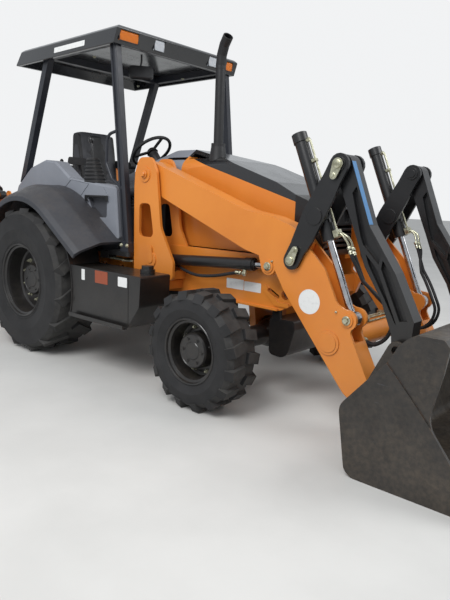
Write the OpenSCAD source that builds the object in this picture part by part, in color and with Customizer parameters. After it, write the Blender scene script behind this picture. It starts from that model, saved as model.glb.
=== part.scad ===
// Backhoe loader with an open canopy, a front loader bucket and a rear digging arm.
// X points forward, Y to the machine's left, Z up. Places are worked out from the rear axle
// on the ground, and the whole machine is then moved so that X = 0 is halfway along it.

/* [Wheels] */
// Distance from the rear axle to the front axle
wheelbase = 2155; // [2140:5:2180]
// Radius of a rear tyre out to its lugs
rear_tyre_r = 660; // [650:1:665]
// Width of a rear tyre
rear_tyre_w = 490; // [460:5:500]
// Distance between the middles of the rear tyres
rear_track = 1710; // [1700:5:1730]
// Radius of a rear rim at its flange
rear_rim_r = 335; // [310:5:350]
// Radius of a front tyre out to its lugs
front_tyre_r = 420; // [410:1:425]
// Width of a front tyre
front_tyre_w = 310; // [290:5:320]
// Distance between the middles of the front tyres
front_track = 1826; // [1810:2:1840]
// Radius of a front rim at its flange
front_rim_r = 235; // [220:5:250]
// Sideways distance from the middle line to a steering pivot
kingpin_y = 730; // [720:2:736]

/* [Frame] */
// Sideways distance from the middle line to the outer face of a side rail
rail_y = 440; // [430:1:444]
// Thickness of a side rail
rail_t = 35; // [25:1:45]
// Height of the top of the side rails
rail_top = 950; // [940:1:960]
// Height of the bottom of the side rails
rail_bottom = 690; // [660:5:700]
// Rear end of the side rails
rail_rear_x = -1050; // [-1060:5:-1040]
// Front end of the side rails
rail_front_x = 2620; // [2600:5:2640]

/* [Loader] */
// Sideways distance from the middle line to the middle of a loader arm
arm_y = 524; // [520:1:528]
// Thickness of a loader arm
arm_w = 152; // [140:2:156]
// Loader arm pivot, forward of the rear axle
arm_pivot_x = 1220; // [1215:1:1225]
// Loader arm pivot, above the ground
arm_pivot_z = 1630; // [1620:1:1640]
// Radius of the loader's main pins
loader_pin_r = 28; // [22:1:32]
// Radius of a lift cylinder's barrel
lift_r = 43; // [38:1:46]
// Radius of a tilt cylinder's barrel
tilt_r = 45; // [40:1:48]
// Radius of a loader cylinder's rod
loader_rod_r = 24; // [20:1:28]
// Thickness of a tilt lever plate
lever_t = 22; // [18:1:24]
// Gap between a moving piece and the plate beside it
side_gap = 6; // [5:0.5:8]
// Width of the loader bucket
bucket_w = 2200; // [2150:10:2250]
// Thickness of the loader bucket's plates
bucket_t = 16; // [12:1:20]

/* [Canopy] */
// Rear edge of the roof
roof_rear_x = -565; // [-590:5:-540]
// Front edge of the roof
roof_front_x = 938; // [920:1:950]
// Half the width of the roof
roof_half_w = 735; // [730:1:760]
// Height of the top of the roof
roof_top = 2790; // [2750:5:2850]
// Depth of the roof's side band
roof_band = 138; // [110:2:150]
// Width of a canopy post, front to back
post_l = 78; // [60:2:90]
// Width of a canopy post, side to side
post_w = 62; // [50:2:70]
// Thickness of the operator's floor
floor_t = 40; // [20:2:60]

/* [Digging arm] */
// Swing axis of the digging arm, forward of the rear axle
swing_x = -1480; // [-1490:1:-1470]
// Distance from the swing axis back to the boom's foot pin
foot_back = 240; // [235:1:250]
// Height of the boom's foot pin
foot_z = 620; // [610:1:630]
// Length of the boom between its pins
boom_len = 2550; // [2500:10:2600]
// Tilt of the boom above level, as parked
boom_rise = 35; // [33:1:37]
// Inside width of the boom between its side plates
boom_in_w = 180; // [176:2:190]
// Thickness of a boom side plate
boom_t = 20; // [14:1:24]
// Width of the dipper
dipper_w = 168; // [150:2:170]
// Radius of the digging arm's main pins
hoe_pin_r = 32; // [26:1:36]
// Radius of the boom cylinder's barrel
boom_cyl_r = 62; // [54:1:66]
// Radius of the dipper cylinder's barrel
dipper_cyl_r = 58; // [50:1:60]
// Radius of the digging bucket cylinder's barrel
hoe_cyl_r = 45; // [40:1:48]
// Radius of the digging arm's cylinder rods
hoe_rod_r = 28; // [22:1:32]
// Width of the digging bucket
hoe_bucket_w = 610; // [450:10:620]
// Thickness of the digging bucket's plates
hoe_bucket_t = 14; // [10:1:18]

/* [Stabilizers] */
// Sideways distance from the middle line to a stabilizer's pivot
stab_pivot_y = 400; // [390:2:410]
// Height of a stabilizer's pivot
stab_pivot_z = 560; // [540:5:580]
// Length of a stabilizer arm from pivot to pad
stab_len = 1300; // [1260:5:1320]
// Angle of a raised stabilizer arm above level
stab_angle = 65; // [64:1:68]
// Width of a stabilizer arm, front to back
stab_w = 120; // [110:2:130]

/* [Hidden] */
$fn = 48;

// Colours
orange = [0.87, 0.55, 0.25];
black = [0.15, 0.15, 0.16];
dark = [0.28, 0.29, 0.32];
pale = [0.66, 0.67, 0.69];
steel = [0.75, 0.75, 0.72];

// Clearances
seat_gap = 0.3;
pin_gap = 0.3;
run_gap = 5;

// A point at a distance and an angle from another point
function polar(p, r, a) = [p.x + r * cos(a), p.y + r * sin(a)];
function heading(p, q) = atan2(q.y - p.y, q.x - p.x);
// Where the line through p and q meets the line through r and s
function meet(p, q, r, s) =
  let (u = q - p, v = s - r, k = ((r.x - p.x) * v.y - (r.y - p.y) * v.x) / (u.x * v.y - u.y * v.x))
  p + k * u;
// A point s along the line from p to q, and h to its left
function beside(p, q, s, h) = polar(polar(p, s, heading(p, q)), h, heading(p, q) + 90);
function arc(c, r, from, to, n = 8) = [for (i = [0:n]) polar(c, r, from + (to - from) * i / n)];
// Outline of a bar with a round end at each of two points
function capsule(p, q, rp, rq, n = 8) =
  let (a = heading(p, q), b = acos((rp - rq) / norm(q - p)))
  concat(arc(p, rp, a + b, a + 360 - b, n), arc(q, rq, a - b, a + b, n));

// The direction from p to q, one unit long
function unit(p, q) = (q - p) / norm(q - p);
// Outline with rounded corners, from rows of [x, z, corner radius]
function rounded(rows, n = 4) = [
  for (i = [0:len(rows) - 1])
    let (a = rows[(i + len(rows) - 1) % len(rows)], b = rows[i], c = rows[(i + 1) % len(rows)],
       p = [b.x, b.y], u = unit(p, [a.x, a.y]), v = unit(p, [c.x, c.y]),
       half = acos(max(-1, min(1, u * v))) / 2, m = p + unit([0, 0], u + v) * b.z / sin(half),
       from = heading(m, p + u * b.z / tan(half)), to = heading(m, p + v * b.z / tan(half)),
       turn = to - from > 180 ? to - from - 360 : to - from < -180 ? to - from + 360 : to - from)
    each b.z == 0 ? [p] : arc(m, b.z, from, from + turn, n)
];
// Outline moved d to the left of its own direction all round
function inset(points, d) = [
  for (i = [0:len(points) - 1])
    let (b = points[i], u = unit(points[(i + len(points) - 1) % len(points)], b),
       v = unit(b, points[(i + 1) % len(points)]), m = [-u.y - v.y, u.x + v.x])
    b + m * d / (1 + u * v)
];
// Points as rows for the function above, with sharp corners or one round one
function sharp(points) = [for (p = points) [p.x, p.y, 0]];
function soft(p, r) = [p.x, p.y, r];
// Rows [forward, up, radius] given from a point
function from(o, rows) = [for (p = rows) [o.x + p.x, o.y + p.y, p.z]];

// Main heights and places
rear_z = rear_tyre_r;
front_z = front_tyre_r;
front_disc = -20;
rear_disc = 40;
rail_in = rail_y - rail_t;
floor_z = rail_top + seat_gap;
floor_top = floor_z + floor_t;

// Loader pins, as [x, z]
arm_pin = [arm_pivot_x, arm_pivot_z];
lift_base = [arm_pivot_x + 80, arm_pivot_z - 680];
lift_pin = [arm_pivot_x + 1245, arm_pivot_z - 618];
lever_pin = [arm_pivot_x + 1453, arm_pivot_z - 556];
trunnion = [arm_pivot_x + 1610, arm_pivot_z - 261];
lever_top = [arm_pivot_x + 1763, arm_pivot_z + 59];
rod_pin = [arm_pivot_x + 1879, arm_pivot_z - 893];
bucket_pin = [arm_pivot_x + 2040, arm_pivot_z - 1380];
link_pin = [arm_pivot_x + 2230, arm_pivot_z - 1010];
tilt_top = polar(trunnion, 565, heading(rod_pin, trunnion));
tilt_gland = polar(trunnion, 167, heading(trunnion, rod_pin));
arm_out = arm_y + arm_w / 2;
arm_in = arm_y - arm_w / 2;
lever_off = arm_w / 2 + side_gap + lever_t / 2;
eye_w = 70;
tower_in = arm_in - side_gap - 12;
tower_out = arm_out + side_gap + 12;
tower_t = 25;

// Digging arm pins, as [x, z]
foot_pin = [swing_x - foot_back, foot_z];
boom_tip = polar(foot_pin, boom_len, 180 - boom_rise);
boom_cyl_base = [foot_pin.x + 60, foot_pin.y + 220];
boom_cyl_pin = beside(foot_pin, boom_tip, 1150, -100);
dip_cyl_base = beside(foot_pin, boom_tip, 1000, -260);
dip_cyl_pin = beside(foot_pin, boom_tip, boom_len + 250, -210);
dipper_tip = [boom_tip.x + 240, boom_tip.y - 1520];
rocker_pin = beside(dipper_tip, boom_tip, 340, 0);
bucket_ear = [dipper_tip.x - 300, dipper_tip.y + 40];
rocker_len = 330;
push_len = 360;
hoe_cyl_base = beside(boom_tip, dipper_tip, 50, -225);
// Where the rocker and the push link meet
link_joint = let (d = norm(bucket_ear - rocker_pin),
    a = (rocker_len * rocker_len - push_len * push_len + d * d) / (2 * d),
    h = sqrt(rocker_len * rocker_len - a * a))
  beside(rocker_pin, bucket_ear, a, -h);
boom_in = boom_in_w / 2;
boom_out = boom_in + boom_t;
hoe_eye_w = 76;

// Lengthwise reach and the move that puts the middle of the machine at X = 0
edge_tip = [bucket_pin.x + 1010, 12];
tail_r = 80;
head_r = 95;
rear_reach = min(dip_cyl_pin.x - tail_r, dipper_tip.x - 495);
shift_x = -(edge_tip.x + rear_reach) / 2;

// Stabilizer points, as [y, z] on the left side
stab_pin = [stab_pivot_y, stab_pivot_z];
stab_foot = polar(stab_pin, stab_len, stab_angle);
stab_cyl_base = [stab_pivot_y - 200, stab_pivot_z + 740];
stab_cyl_pin = beside(stab_pin, stab_foot, 240, 20);
stab_x = -1130;

// Moves a sub-part from the rear axle's frame to the machine's own
module placed() {
  translate([shift_x, 0, 0]) children();
}

module mirror_y() {
  children();
  mirror([0, 1, 0]) children();
}

// A plate whose side view is an outline in X and Z, centred on y
module plate(points, y, t) {
  translate([0, y + t / 2, 0])
    rotate([90, 0, 0])
      linear_extrude(t)
        polygon(points);
}

// A round bar across the machine at p, from y0 to y1
module cross(p, r, y0, y1) {
  translate([p.x, y1, p.y])
    rotate([90, 0, 0])
      cylinder(h = y1 - y0, r = r);
}

// A round bar in the plane of x and z at y, from p to q
module bar(p, q, r, y) {
  translate([p.x, y, p.y])
    rotate([0, 90 - heading(p, q), 0])
      cylinder(h = norm(q - p), r = r);
}

// A box given by its low and high corners
module block(low, high) {
  translate(low) cube(high - low);
}

// A solid turned about a sideways axle at p, from rows of [radius, sideways place]
module turned(p, rows) {
  translate([p.x, 0, p.y])
    rotate([-90, 0, 0])
      rotate_extrude()
        polygon(concat([[0, rows[0].y]], rows, [[0, rows[len(rows) - 1].y]]));
}

// A round tube bent through points in a plane across y, with a mitred ring at each point
module bent_tube(points, r, y) {
  last = len(points) - 1;
  n = 16;
  function way(i) = let (k = min(max(i, 0), last - 1)) unit(points[k], points[k + 1]);
  function ring(i) = let (half = unit([0, 0], way(i - 1) + way(i)), reach = r / (half * way(i)))
    [for (a = [180 / n:360 / n:359])
      [points[i].x - half.y * reach * cos(a), y + r * sin(a), points[i].y + half.x * reach * cos(a)]];
  polyhedron([for (i = [0:last]) each ring(i)],
    concat([[for (k = [1:n]) n - k], [for (k = [0:n - 1]) last * n + k]],
      [for (a = [0:n:n * (last - 1)], k = [0:n - 1]) let (m = (k + 1) % n) [a + k, a + m, a + n + m, a + n + k]]));
}

// A straight beam from p to q at y, with its section in its own [depth, side]
module beam(p, q, y, section) {
  translate([p.x, y, p.y])
    rotate([0, 90 - heading(p, q), 0])
      linear_extrude(norm(q - p))
        polygon(section);
}

// Takes the corner off a plate along the outline's edge from p to q
module edge_cut(p, q, y, c) {
  translate([p.x, y, p.y])
    rotate([0, -heading(p, q), 0])
      rotate([45, 0, 0])
        translate([-c, -c / sqrt(2), -c / sqrt(2)])
          cube([norm(q - p) + 2 * c, c * sqrt(2), c * sqrt(2)]);
}

// Barrel of a cylinder, from its base pin p towards q, with its eye and gland
module barrel(p, q, len, r, rod_r, eye_r, pin_r, w, y) {
  function on(s) = polar(p, s, heading(p, q));
  difference() {
    union() {
      bar(p, on(eye_r + 60), min(r, w / 2 - 2), y);
      bar(on(eye_r + 50), on(len), r, y);
      // Cap weld, gland and its wiper ring
      bar(on(eye_r + 50), on(eye_r + 66), r + 4, y);
      bar(on(len - 70), on(len), r + 5, y);
      bar(on(len - 1), on(len + 15), r - 4, y);
      cross(p, eye_r, y - w / 2, y + w / 2);
    }
    cross(p, pin_r + pin_gap, y - w, y + w);
    bar(on(eye_r + 25), on(len + 20), rod_r + seat_gap, y);
  }
}

// Rod of a cylinder, from inside its barrel to its eye at q
module rod(p, q, inside, rod_r, eye_r, pin_r, w, y) {
  difference() {
    union() {
      bar(polar(p, inside, heading(p, q)), polar(q, eye_r - 8, heading(q, p)), rod_r, y);
      // Neck that the eye is forged with
      bar(polar(q, eye_r + 14, heading(q, p)), polar(q, eye_r - 14, heading(q, p)), rod_r + 4, y);
      cross(q, eye_r, y - w / 2, y + w / 2);
    }
    cross(q, pin_r + 2, y - w, y + w);
  }
}

hood_seat = 1065;
// Outline of a side rail, from below the driver to the nose
rail_nose = rail_bottom - 10;
rail_points = rounded([
  [rail_rear_x, 640, 0], [-230, 640, 40], [-190, rear_z + 165, 50], [190, rear_z + 165, 50], [230, 640, 40],
  [900, 640, 60], [1500, rail_bottom, 60], [rail_front_x - 150, rail_nose, 60],
  [rail_front_x - 20, rail_bottom + 60, 30], [rail_front_x + 20, 860, 25],
  [rail_front_x - 70, 930, 20], [rail_front_x - 70, hood_seat, 10], [arm_pivot_x + 90, hood_seat, 30],
  [arm_pivot_x - 40, rail_top, 30], [rail_rear_x, rail_top, 0]
]);
tower_rear = arm_pivot_x - 135;
tower_points = rounded([
  [tower_rear, 800, 20], [arm_pivot_x + 340, 800, 40], [arm_pivot_x + 340, rail_top, 60],
  [arm_pivot_x + 190, 1210, 160], [arm_pivot_x + 135, arm_pivot_z + 20, 60],
  [arm_pivot_x + 75, arm_pivot_z + 135, 70], [arm_pivot_x - 75, arm_pivot_z + 135, 70],
  [arm_pivot_x - 125, arm_pivot_z + 20, 60], [tower_rear, arm_pivot_z - 90, 60]
], 5);
member_top = 745;
bolster_gap = 125;

module main_frame() {
  color(orange) placed() mirror_y() {
    // Side rail, drilled for the tie-down pin at its front end
    difference() {
      union() {
        plate(rail_points, rail_y - rail_t / 2, rail_t);
        // Doubler and hook plate on the rail's outer face
        plate(rounded([[wheelbase + 120, 850, 20], [wheelbase + 190, 850, 20], [wheelbase + 300, 742, 20],
            [wheelbase + 395, 742, 15], [wheelbase + 395, 712, 15], [wheelbase + 270, 712, 30]]),
            rail_y + 5, 10.2);
        // Lip along the bottom of the rail
        beam([arm_pivot_x + 300, rail_bottom + 6], [rail_front_x - 160, rail_nose + 6], rail_y + 10,
           [[-6, -12], [6, -12], [6, 18], [-6, 18]]);
      }
      cross([rail_front_x - 110, 800], 35, rail_in - 10, rail_y + 10);
      // Slot to lash the machine by, behind the hook plate
      plate(capsule([wheelbase + 215, 820], [wheelbase + 290, 780], 14, 14), rail_y, 3 * rail_t);
      // Holes for the drive shaft's guard and the hose runs
      for (x = [-700, -420, 420, 660])
        cross([x, 800], 38, rail_in - 10, rail_y + 10);
    }
    // Tower plates beside the loader arm
    difference() {
      union() {
        plate(tower_points, tower_in - tower_t / 2, tower_t);
        plate(tower_points, tower_out + tower_t / 2, tower_t);
        block([tower_rear, tower_in - 1, 800], [arm_pivot_x + 280, tower_out + 1, 870]);
        block([tower_rear, tower_in - 1, 869], [tower_rear + 20, tower_out + 1, 1480]);
        // Pin bosses and the keeper plate of the lift cylinder's pin
        for (p = [arm_pin, lift_base])
          cross(p, 62, tower_out + tower_t - 1, tower_out + tower_t + 8);
        plate(capsule(lift_base, lift_base + [0, 90], 30, 20), tower_out + tower_t + 10, 8);
      }
      cross(arm_pin, 70, rail_in - 200, tower_in - tower_t - 0.1);
      plate(rounded([[arm_pivot_x - 70, 1130, 40], [arm_pivot_x + 110, 1130, 40], [arm_pivot_x + 60, 1400, 40],
          [arm_pivot_x - 70, 1400, 40]]), arm_y, 3 * arm_w);
    }
    cross(arm_pin, loader_pin_r, tower_in - 1, tower_out + tower_t + 14);
    cross(lift_base, loader_pin_r, tower_in - 1, tower_out + tower_t + 14);
    // Arms that carry the side tanks
    for (x = [890, 1390])
      block([x, rail_y - 1, 720], [x + 80, 699.7, 790]);
  }
  color(orange) placed() {
    // Cross members
    block([rail_rear_x, -rail_in - 1, 700], [rail_rear_x + 90, rail_in + 1, rail_top - 60]);
    block([arm_pivot_x - 70, -rail_in - 1, 905], [arm_pivot_x + 30, rail_in + 1, rail_top - 1]);
    block([wheelbase - bolster_gap - 20, -rail_in - 1, 700],
        [wheelbase + bolster_gap + 20, rail_in + 1, member_top]);
    block([rail_front_x - 75, -rail_in - 1, 760], [rail_front_x - 35, rail_in + 1, 900]);
    // Brackets that carry the hood and the nose
    mirror_y()
      for (x = [hood_rear + 50, hood_front - 80, rail_front_x - 135])
        block([x, 300, hood_seat - 40], [x + 60, rail_in + 1, hood_seat]);
    // Axle carrier under the front cross member
    difference() {
      for (s = [-1, 1])
        plate_x(rounded([[-190, 701, 0], [-130, front_z - 80, 50], [130, front_z - 80, 50], [190, 701, 0]]),
            wheelbase + s * (bolster_gap + 30), 60);
      translate([wheelbase - 300, 0, front_z])
        rotate([0, 90, 0])
          cylinder(h = 600, r = 45 + seat_gap);
    }
  }
}

engine_rear = 1510;
module engine_block() {
  color(dark) placed()
    block([engine_rear, -270, member_top + seat_gap], [hood_front - 140, 270, 1300]);
}

module rear_axle() {
  color(black) placed() {
    // Axle housing with its differential, turned in one form
    turned([0, rear_z], [[118, -640], [118, -600], [98, -580], [104, -420], [150, -330], [150, -300], [178, -230],
        [196, -120], [196, 120], [178, 230], [150, 300], [150, 330], [104, 420], [98, 580],
        [118, 600], [118, 640]]);
    block([-150, -rail_y, rear_z + 60], [150, rail_y, rear_z + 165 - seat_gap]);
    // Final drives and hubs up to the rims' discs
    mirror_y()
      turned([0, rear_z], [[150, 639], [172, 650], [172, 682], [120, 694], [120, 760],
          [110, rear_track / 2 + rear_disc - 12 - seat_gap]]);
    // Gearbox with its bell housing, and the drive shafts
    block([520, -210, 500], [engine_rear - 150, 210, 890]);
    plate(rounded([[engine_rear - 160, 470, 30], [engine_rear - seat_gap, 440, 0],
        [engine_rear - seat_gap, 930, 0], [engine_rear - 160, 900, 30]]), 0, 480);
    bar([180, rear_z], [530, rear_z], 45, 0);
    bar([450, rear_z], [520, rear_z], 78, 0);
    bar([engine_rear - 20, 560], [wheelbase - 205, front_z - 12], 32, 0);
    bar([engine_rear - 1, 561], [engine_rear + 70, 550], 50, 0);
    bar([wheelbase - 213, front_z - 12], [wheelbase - 185 - seat_gap, front_z - 12], 50, 0);
  }
}

module front_axle() {
  color(black) placed() {
    difference() {
      union() {
        // Beam and differential, turned in one form
        turned([wheelbase, front_z], [[70, -kingpin_y + 160], [78, -420], [82, -240], [108, -170], [117, -90],
            [117, 60], [100, 150], [80, 240], [78, 420], [70, kingpin_y - 160]]);
        bar([wheelbase - bolster_gap, front_z], [wheelbase + bolster_gap, front_z], 105, 0);
        bar([wheelbase - 185, front_z], [wheelbase + 185, front_z], 45, 0);
        // Forks that hold the steering pivots
        mirror_y() {
          for (s = [-1, 1])
            plate_z(rounded([[wheelbase - 70, kingpin_y - 135, 30], [wheelbase - 70, kingpin_y + 45, 50],
                [wheelbase + 70, kingpin_y + 45, 50], [wheelbase + 70, kingpin_y - 135, 30]]),
                front_z + s * 100 - 22, 44);
          block([wheelbase - 40, kingpin_y - 165, front_z - 122],
              [wheelbase + 70, kingpin_y - 110, front_z + 122]);
        }
      }
      mirror_y()
        translate([wheelbase, kingpin_y, front_z - 200])
          cylinder(h = 400, r = 28 + pin_gap);
    }
  }
}

// Side and front views of the hood
hood_rear = arm_pivot_x + 110;
hood_front = rail_front_x - 150;
hood_crest = [[hood_front, 1505], [hood_front - 170, 1590], [hood_rear + 470, 1760], [hood_rear, 1860]];
hood_side = concat([[hood_rear, hood_seat + seat_gap], [hood_front, hood_seat + seat_gap]], hood_crest);
hood_half = 350;
hood_skin = 28;
hood_split = [hood_rear, 1800];

// Front view of the cowl and the hood, with rounded shoulders
hood_section = rounded([
  [-hood_half, 1000, 0], [hood_half, 1000, 0], [hood_half, 1730, 120], [150, 1880, 120], [-150, 1880, 120],
  [-hood_half, 1730, 120]
], 6);

module hood_form() {
  intersection() {
    plate(hood_side, 0, 2 * hood_half);
    plate_x(hood_section, hood_rear + 570, 1400);
    plate_z([[hood_rear, -hood_half], [hood_front + 1, -hood_half + 30], [hood_front + 1, hood_half - 30],
        [hood_rear, hood_half]], 1000, 1000);
  }
}

// Both panels of the hood, with louvres in the sides
module hood_shell() {
  difference() {
    hood_form();
    plate(concat([[hood_rear + hood_skin, 1000], [hood_front + 10, 1000], [hood_front + 10, 1470]],
        [for (p = [hood_crest[1], hood_crest[2]]) p - [0, 30]],
        [[hood_rear + hood_skin, 1826]]), 0, 2 * (hood_half - 30 - hood_skin));
    for (i = [0:6])
      beam([hood_front - 140 - 75 * i, 1180], [hood_front - 150 - 75 * i, 1330 + 12 * i], 0,
         [[-14, -400], [14, -400], [14, 400], [-14, 400]]);
  }
}

module hood() {
  color(orange) placed()
    intersection() {
      hood_shell();
      plate([[hood_rear - 50, hood_seat], [hood_front + 50, hood_seat], [hood_front + 50, hood_split.y - 360],
          [hood_rear - 50, hood_split.y + 15]], 0, 3 * hood_half);
    }
}

// Dark moulded top panel over the orange sides
module hood_top() {
  color(black) placed()
    intersection() {
      hood_shell();
      plate([[hood_rear - 50, hood_split.y + 15 + seat_gap], [hood_front + 50, hood_split.y - 360 + seat_gap],
          [hood_front + 50, 2000], [hood_rear - 50, 2000]], 0, 3 * hood_half);
    }
}

nose_front = rail_front_x - 10;
module nose() {
  color(black) placed() {
    difference() {
      intersection() {
        plate(rounded([[hood_front + seat_gap, hood_seat + seat_gap, 0], [nose_front, hood_seat + seat_gap, 20],
            [nose_front, 1400, 60], [nose_front - 50, 1470, 40],
            [hood_front + seat_gap, 1505, 0]]), 0, 2 * hood_half);
        plate_z(rounded([[hood_front, -hood_half + 30, 0], [nose_front + 1, -hood_half + 50, 70],
            [nose_front + 1, hood_half - 50, 70], [hood_front, hood_half - 30, 0]], 6),
            1000, 600);
      }
      block([hood_front - 1, -hood_half + 60, 1110], [nose_front - 60, hood_half - 60, 1440]);
      for (z = [1110:40:1270])
        block([nose_front - 80, -hood_half + 90, z], [nose_front + 10, hood_half - 90, z + 22]);
      // Lamp recesses above the slats
      mirror_y()
        translate([nose_front - 25, 170, 1360])
          rotate([0, 90, 0]) cylinder(h = 60, r = 52);
    }
    // Weight under the front of the frame
    plate(rounded([[wheelbase + 220, 620, 30], [wheelbase + 225, 345, 40], [rail_front_x - 80, 330, 90],
        [rail_front_x - 20, 560, 40], [rail_front_x - 30, 620, 20]], 6), 0, 860);
    mirror_y()
      block([wheelbase + 245, 410, 600], [rail_front_x - 150, 434, rail_nose - seat_gap]);
  }
}

stack = [hood_rear + 315, -250];
stack_r = 38;
stack_bend = 2480;
stack_curve = 230;
stack_sweep = 58;
stack_turn = -20;
module exhaust() {
  color(dark) placed()
    translate([stack.x, stack.y, 0]) {
      difference() {
        union() {
          translate([0, 0, 1680]) cylinder(h = 200, r1 = 82, r2 = 54);
          // Clamp round the top of the boot
          translate([0, 0, 1865]) cylinder(h = 26, r = 56);
          translate([0, 0, 1855]) cylinder(h = stack_bend - 1855, r = stack_r);
          stack_tip(stack_r + 1.5);
        }
        translate([0, 0, 1900]) cylinder(h = stack_bend - 1899, r = stack_r - 4);
        stack_tip(stack_r - 5, 2);
        // Foot cut to the form of the hood
        translate([-stack.x, -stack.y, seat_gap])
          intersection() {
            plate(hood_side, -250, 190);
            plate_x(hood_section, stack.x, 190);
          }
      }
    }
}

// Curved tip that turns forward and out at the top of the pipe
module stack_tip(r, past = 0) {
  rotate([0, 0, stack_turn])
    bent_tube([[0, stack_bend - 25], for (i = [0:3]) let (a = i * stack_sweep / 3 + (i == 3 ? past : 0))
      [stack_curve * (1 - cos(a)), stack_bend + stack_curve * sin(a)]], r, 0);
}

roof_skin = 30;
roof_low = roof_top - roof_band;
module canopy_roof() {
  color(dark) placed()
    difference() {
      intersection() {
        // Sloping ends and a rounded top edge, seen from the side and from the front
        plate(rounded([[roof_rear_x - 33, roof_low, 6], [roof_front_x - 16, roof_low, 6],
            [roof_front_x + 32, roof_top - 22, 14], [roof_front_x + 8, roof_top, 14],
            [roof_rear_x + 84, roof_top, 14]]), 0, 2 * roof_half_w);
        plate_x(rounded([[-roof_half_w, roof_low, 6], [roof_half_w, roof_low, 6],
            [roof_half_w - 6, roof_top - 24, 16], [roof_half_w - 36, roof_top, 16],
            [36 - roof_half_w, roof_top, 16], [6 - roof_half_w, roof_top - 24, 16]]), 0, 3000);
      }
      plate([[roof_rear_x + 5, roof_low - 1], [roof_rear_x + 62, roof_top - 60], [roof_front_x - 30, roof_top - 60],
          [roof_front_x - 30, roof_low - 1]], 0, 2 * (roof_half_w - roof_skin));
      // Pressed channels across the top
      for (i = [0:3])
        block([roof_rear_x + 230 + 290 * i, -roof_half_w + 130, roof_top - 12],
            [roof_rear_x + 350 + 290 * i, roof_half_w - 130, roof_top + 10]);
      lamp_pockets();
    }
}

// Places of the roof's lamps as [sideways place, width, height, amber]
lamp_rows = [[-596, 190, 76, true], [-269, 112, 84, false], [398, 112, 84, false], [629, 90, 76, true]];
lamp_z = roof_top - 72;
lamp_back = roof_front_x - 22;

module lamp_pockets() {
  for (row = lamp_rows)
    block([lamp_back, row[0] - row[1] / 2, lamp_z - row[2] / 2],
        [roof_front_x + 60, row[0] + row[1] / 2, lamp_z + row[2] / 2]);
}

// One kind of lamp: a bowed lens that fills its pocket
module roof_lamps(amber) {
  for (row = lamp_rows)
    if (row[3] == amber)
      intersection() {
        plate_z(rounded([[lamp_back + seat_gap, row[0] - row[1] / 2 + seat_gap, 0],
            [roof_front_x + 22, row[0] - row[1] / 2 + seat_gap, 16],
            [roof_front_x + 22, row[0] + row[1] / 2 - seat_gap, 16],
            [lamp_back + seat_gap, row[0] + row[1] / 2 - seat_gap, 0]]),
            lamp_z - row[2] / 2 + seat_gap, row[2] - 2 * seat_gap);
        plate(rounded([[lamp_back, lamp_z - row[2] / 2 - 20, 0], [roof_front_x + 4, lamp_z - row[2] / 2, 16],
            [roof_front_x + 22, lamp_z + row[2] / 2, 20],
            [lamp_back, lamp_z + row[2] / 2 + 20, 0]]), 0, 2000);
      }
}

post_top_x = 850;
front_post_y = 668;
rear_post_y = 650;
ring_z = roof_top - 60 - seat_gap;
front_foot = [1040, floor_top];
front_head = [post_top_x, ring_z];
post_section = [[-post_l / 2, -post_w / 2], [post_l / 2, -post_w / 2], [post_l / 2, post_w / 2 - 10],
    [post_l / 2 - 10, post_w / 2], [12, post_w / 2], [12, post_w / 2 - 9], [-12, post_w / 2 - 9],
    [-12, post_w / 2], [10 - post_l / 2, post_w / 2], [-post_l / 2, post_w / 2 - 10]];
// Where an edge of the sloping rear post meets the top of the side console
function post_foot(edge) =
  meet([-552 + edge, 1745], [-150 + edge, ring_z - 60], console_rear[0] + [0, seat_gap], console_rear[1] + [0, seat_gap]);
module canopy_posts() {
  color(dark) placed() {
    mirror_y() {
      // Front post with a groove down its outer face, cut level at both ends
      difference() {
        beam(front_foot - [-20, 194], front_head + [-12, 120], front_post_y, post_section);
        block([0, 0, 0], [2000, 2000, floor_top + seat_gap]);
        block([0, 0, ring_z], [2000, 2000, 4000]);
      }
      plate(rounded([[front_foot.x - 70, floor_top + seat_gap, 0], [front_foot.x + 40, floor_top + seat_gap, 0],
          [front_foot.x + 34, floor_top + 90, 20], [front_foot.x - 50, floor_top + 90, 20]]),
          front_post_y, post_w);
      // Loop of the grab handle, let into the post at both ends
      bent_tube(rounded([[955, 1990, 0], [778, 1955, 70], [762, 1720, 60], [840, 1590, 40], [1000, 1500, 0]], 4),
          13, front_post_y + 14);
      plate([post_foot(-post_l / 2), post_foot(post_l / 2), [-150 + post_l / 2, ring_z - 60],
          [-150 + post_l / 2, ring_z], [-150 - post_l / 2, ring_z],
          [-150 - post_l / 2, ring_z - 60]], rear_post_y, post_w);
      block([-150, 620, ring_z - 60], [880, 681, ring_z]);
    }
    for (x = [-150, 820])
      block([x, -621, ring_z - 60], [x + 60, 621, ring_z]);
  }
}

seat_base = 1330;
console_in = 545;
console_out = 685;
flare_r = 870;
module cab_floor() {
  color(black) placed() {
    plate_z(rounded([[800, -700, 12], [1080, -700, 30], [1080, 700, 30], [800, 700, 12]]), floor_z, floor_t);
    block([-940, -console_in + seat_gap, floor_z], [801, console_in - seat_gap, floor_top]);
    // Sill under the doorway and treads on the floor
    mirror_y()
      block([690, console_in + 60, floor_z - 34], [801, 694, floor_z + 30]);
    for (i = [0:5])
      block([560 + 45 * i, -420, floor_top - 1], [575 + 45 * i, 420, floor_top + 5]);
    // Seat box
    plate_z(rounded([[-330, -190, 30], [60, -190, 30], [60, 190, 30], [-330, 190, 30]]), floor_top - 1,
        seat_base - seat_gap - floor_top + 1);
  }
}

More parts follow.
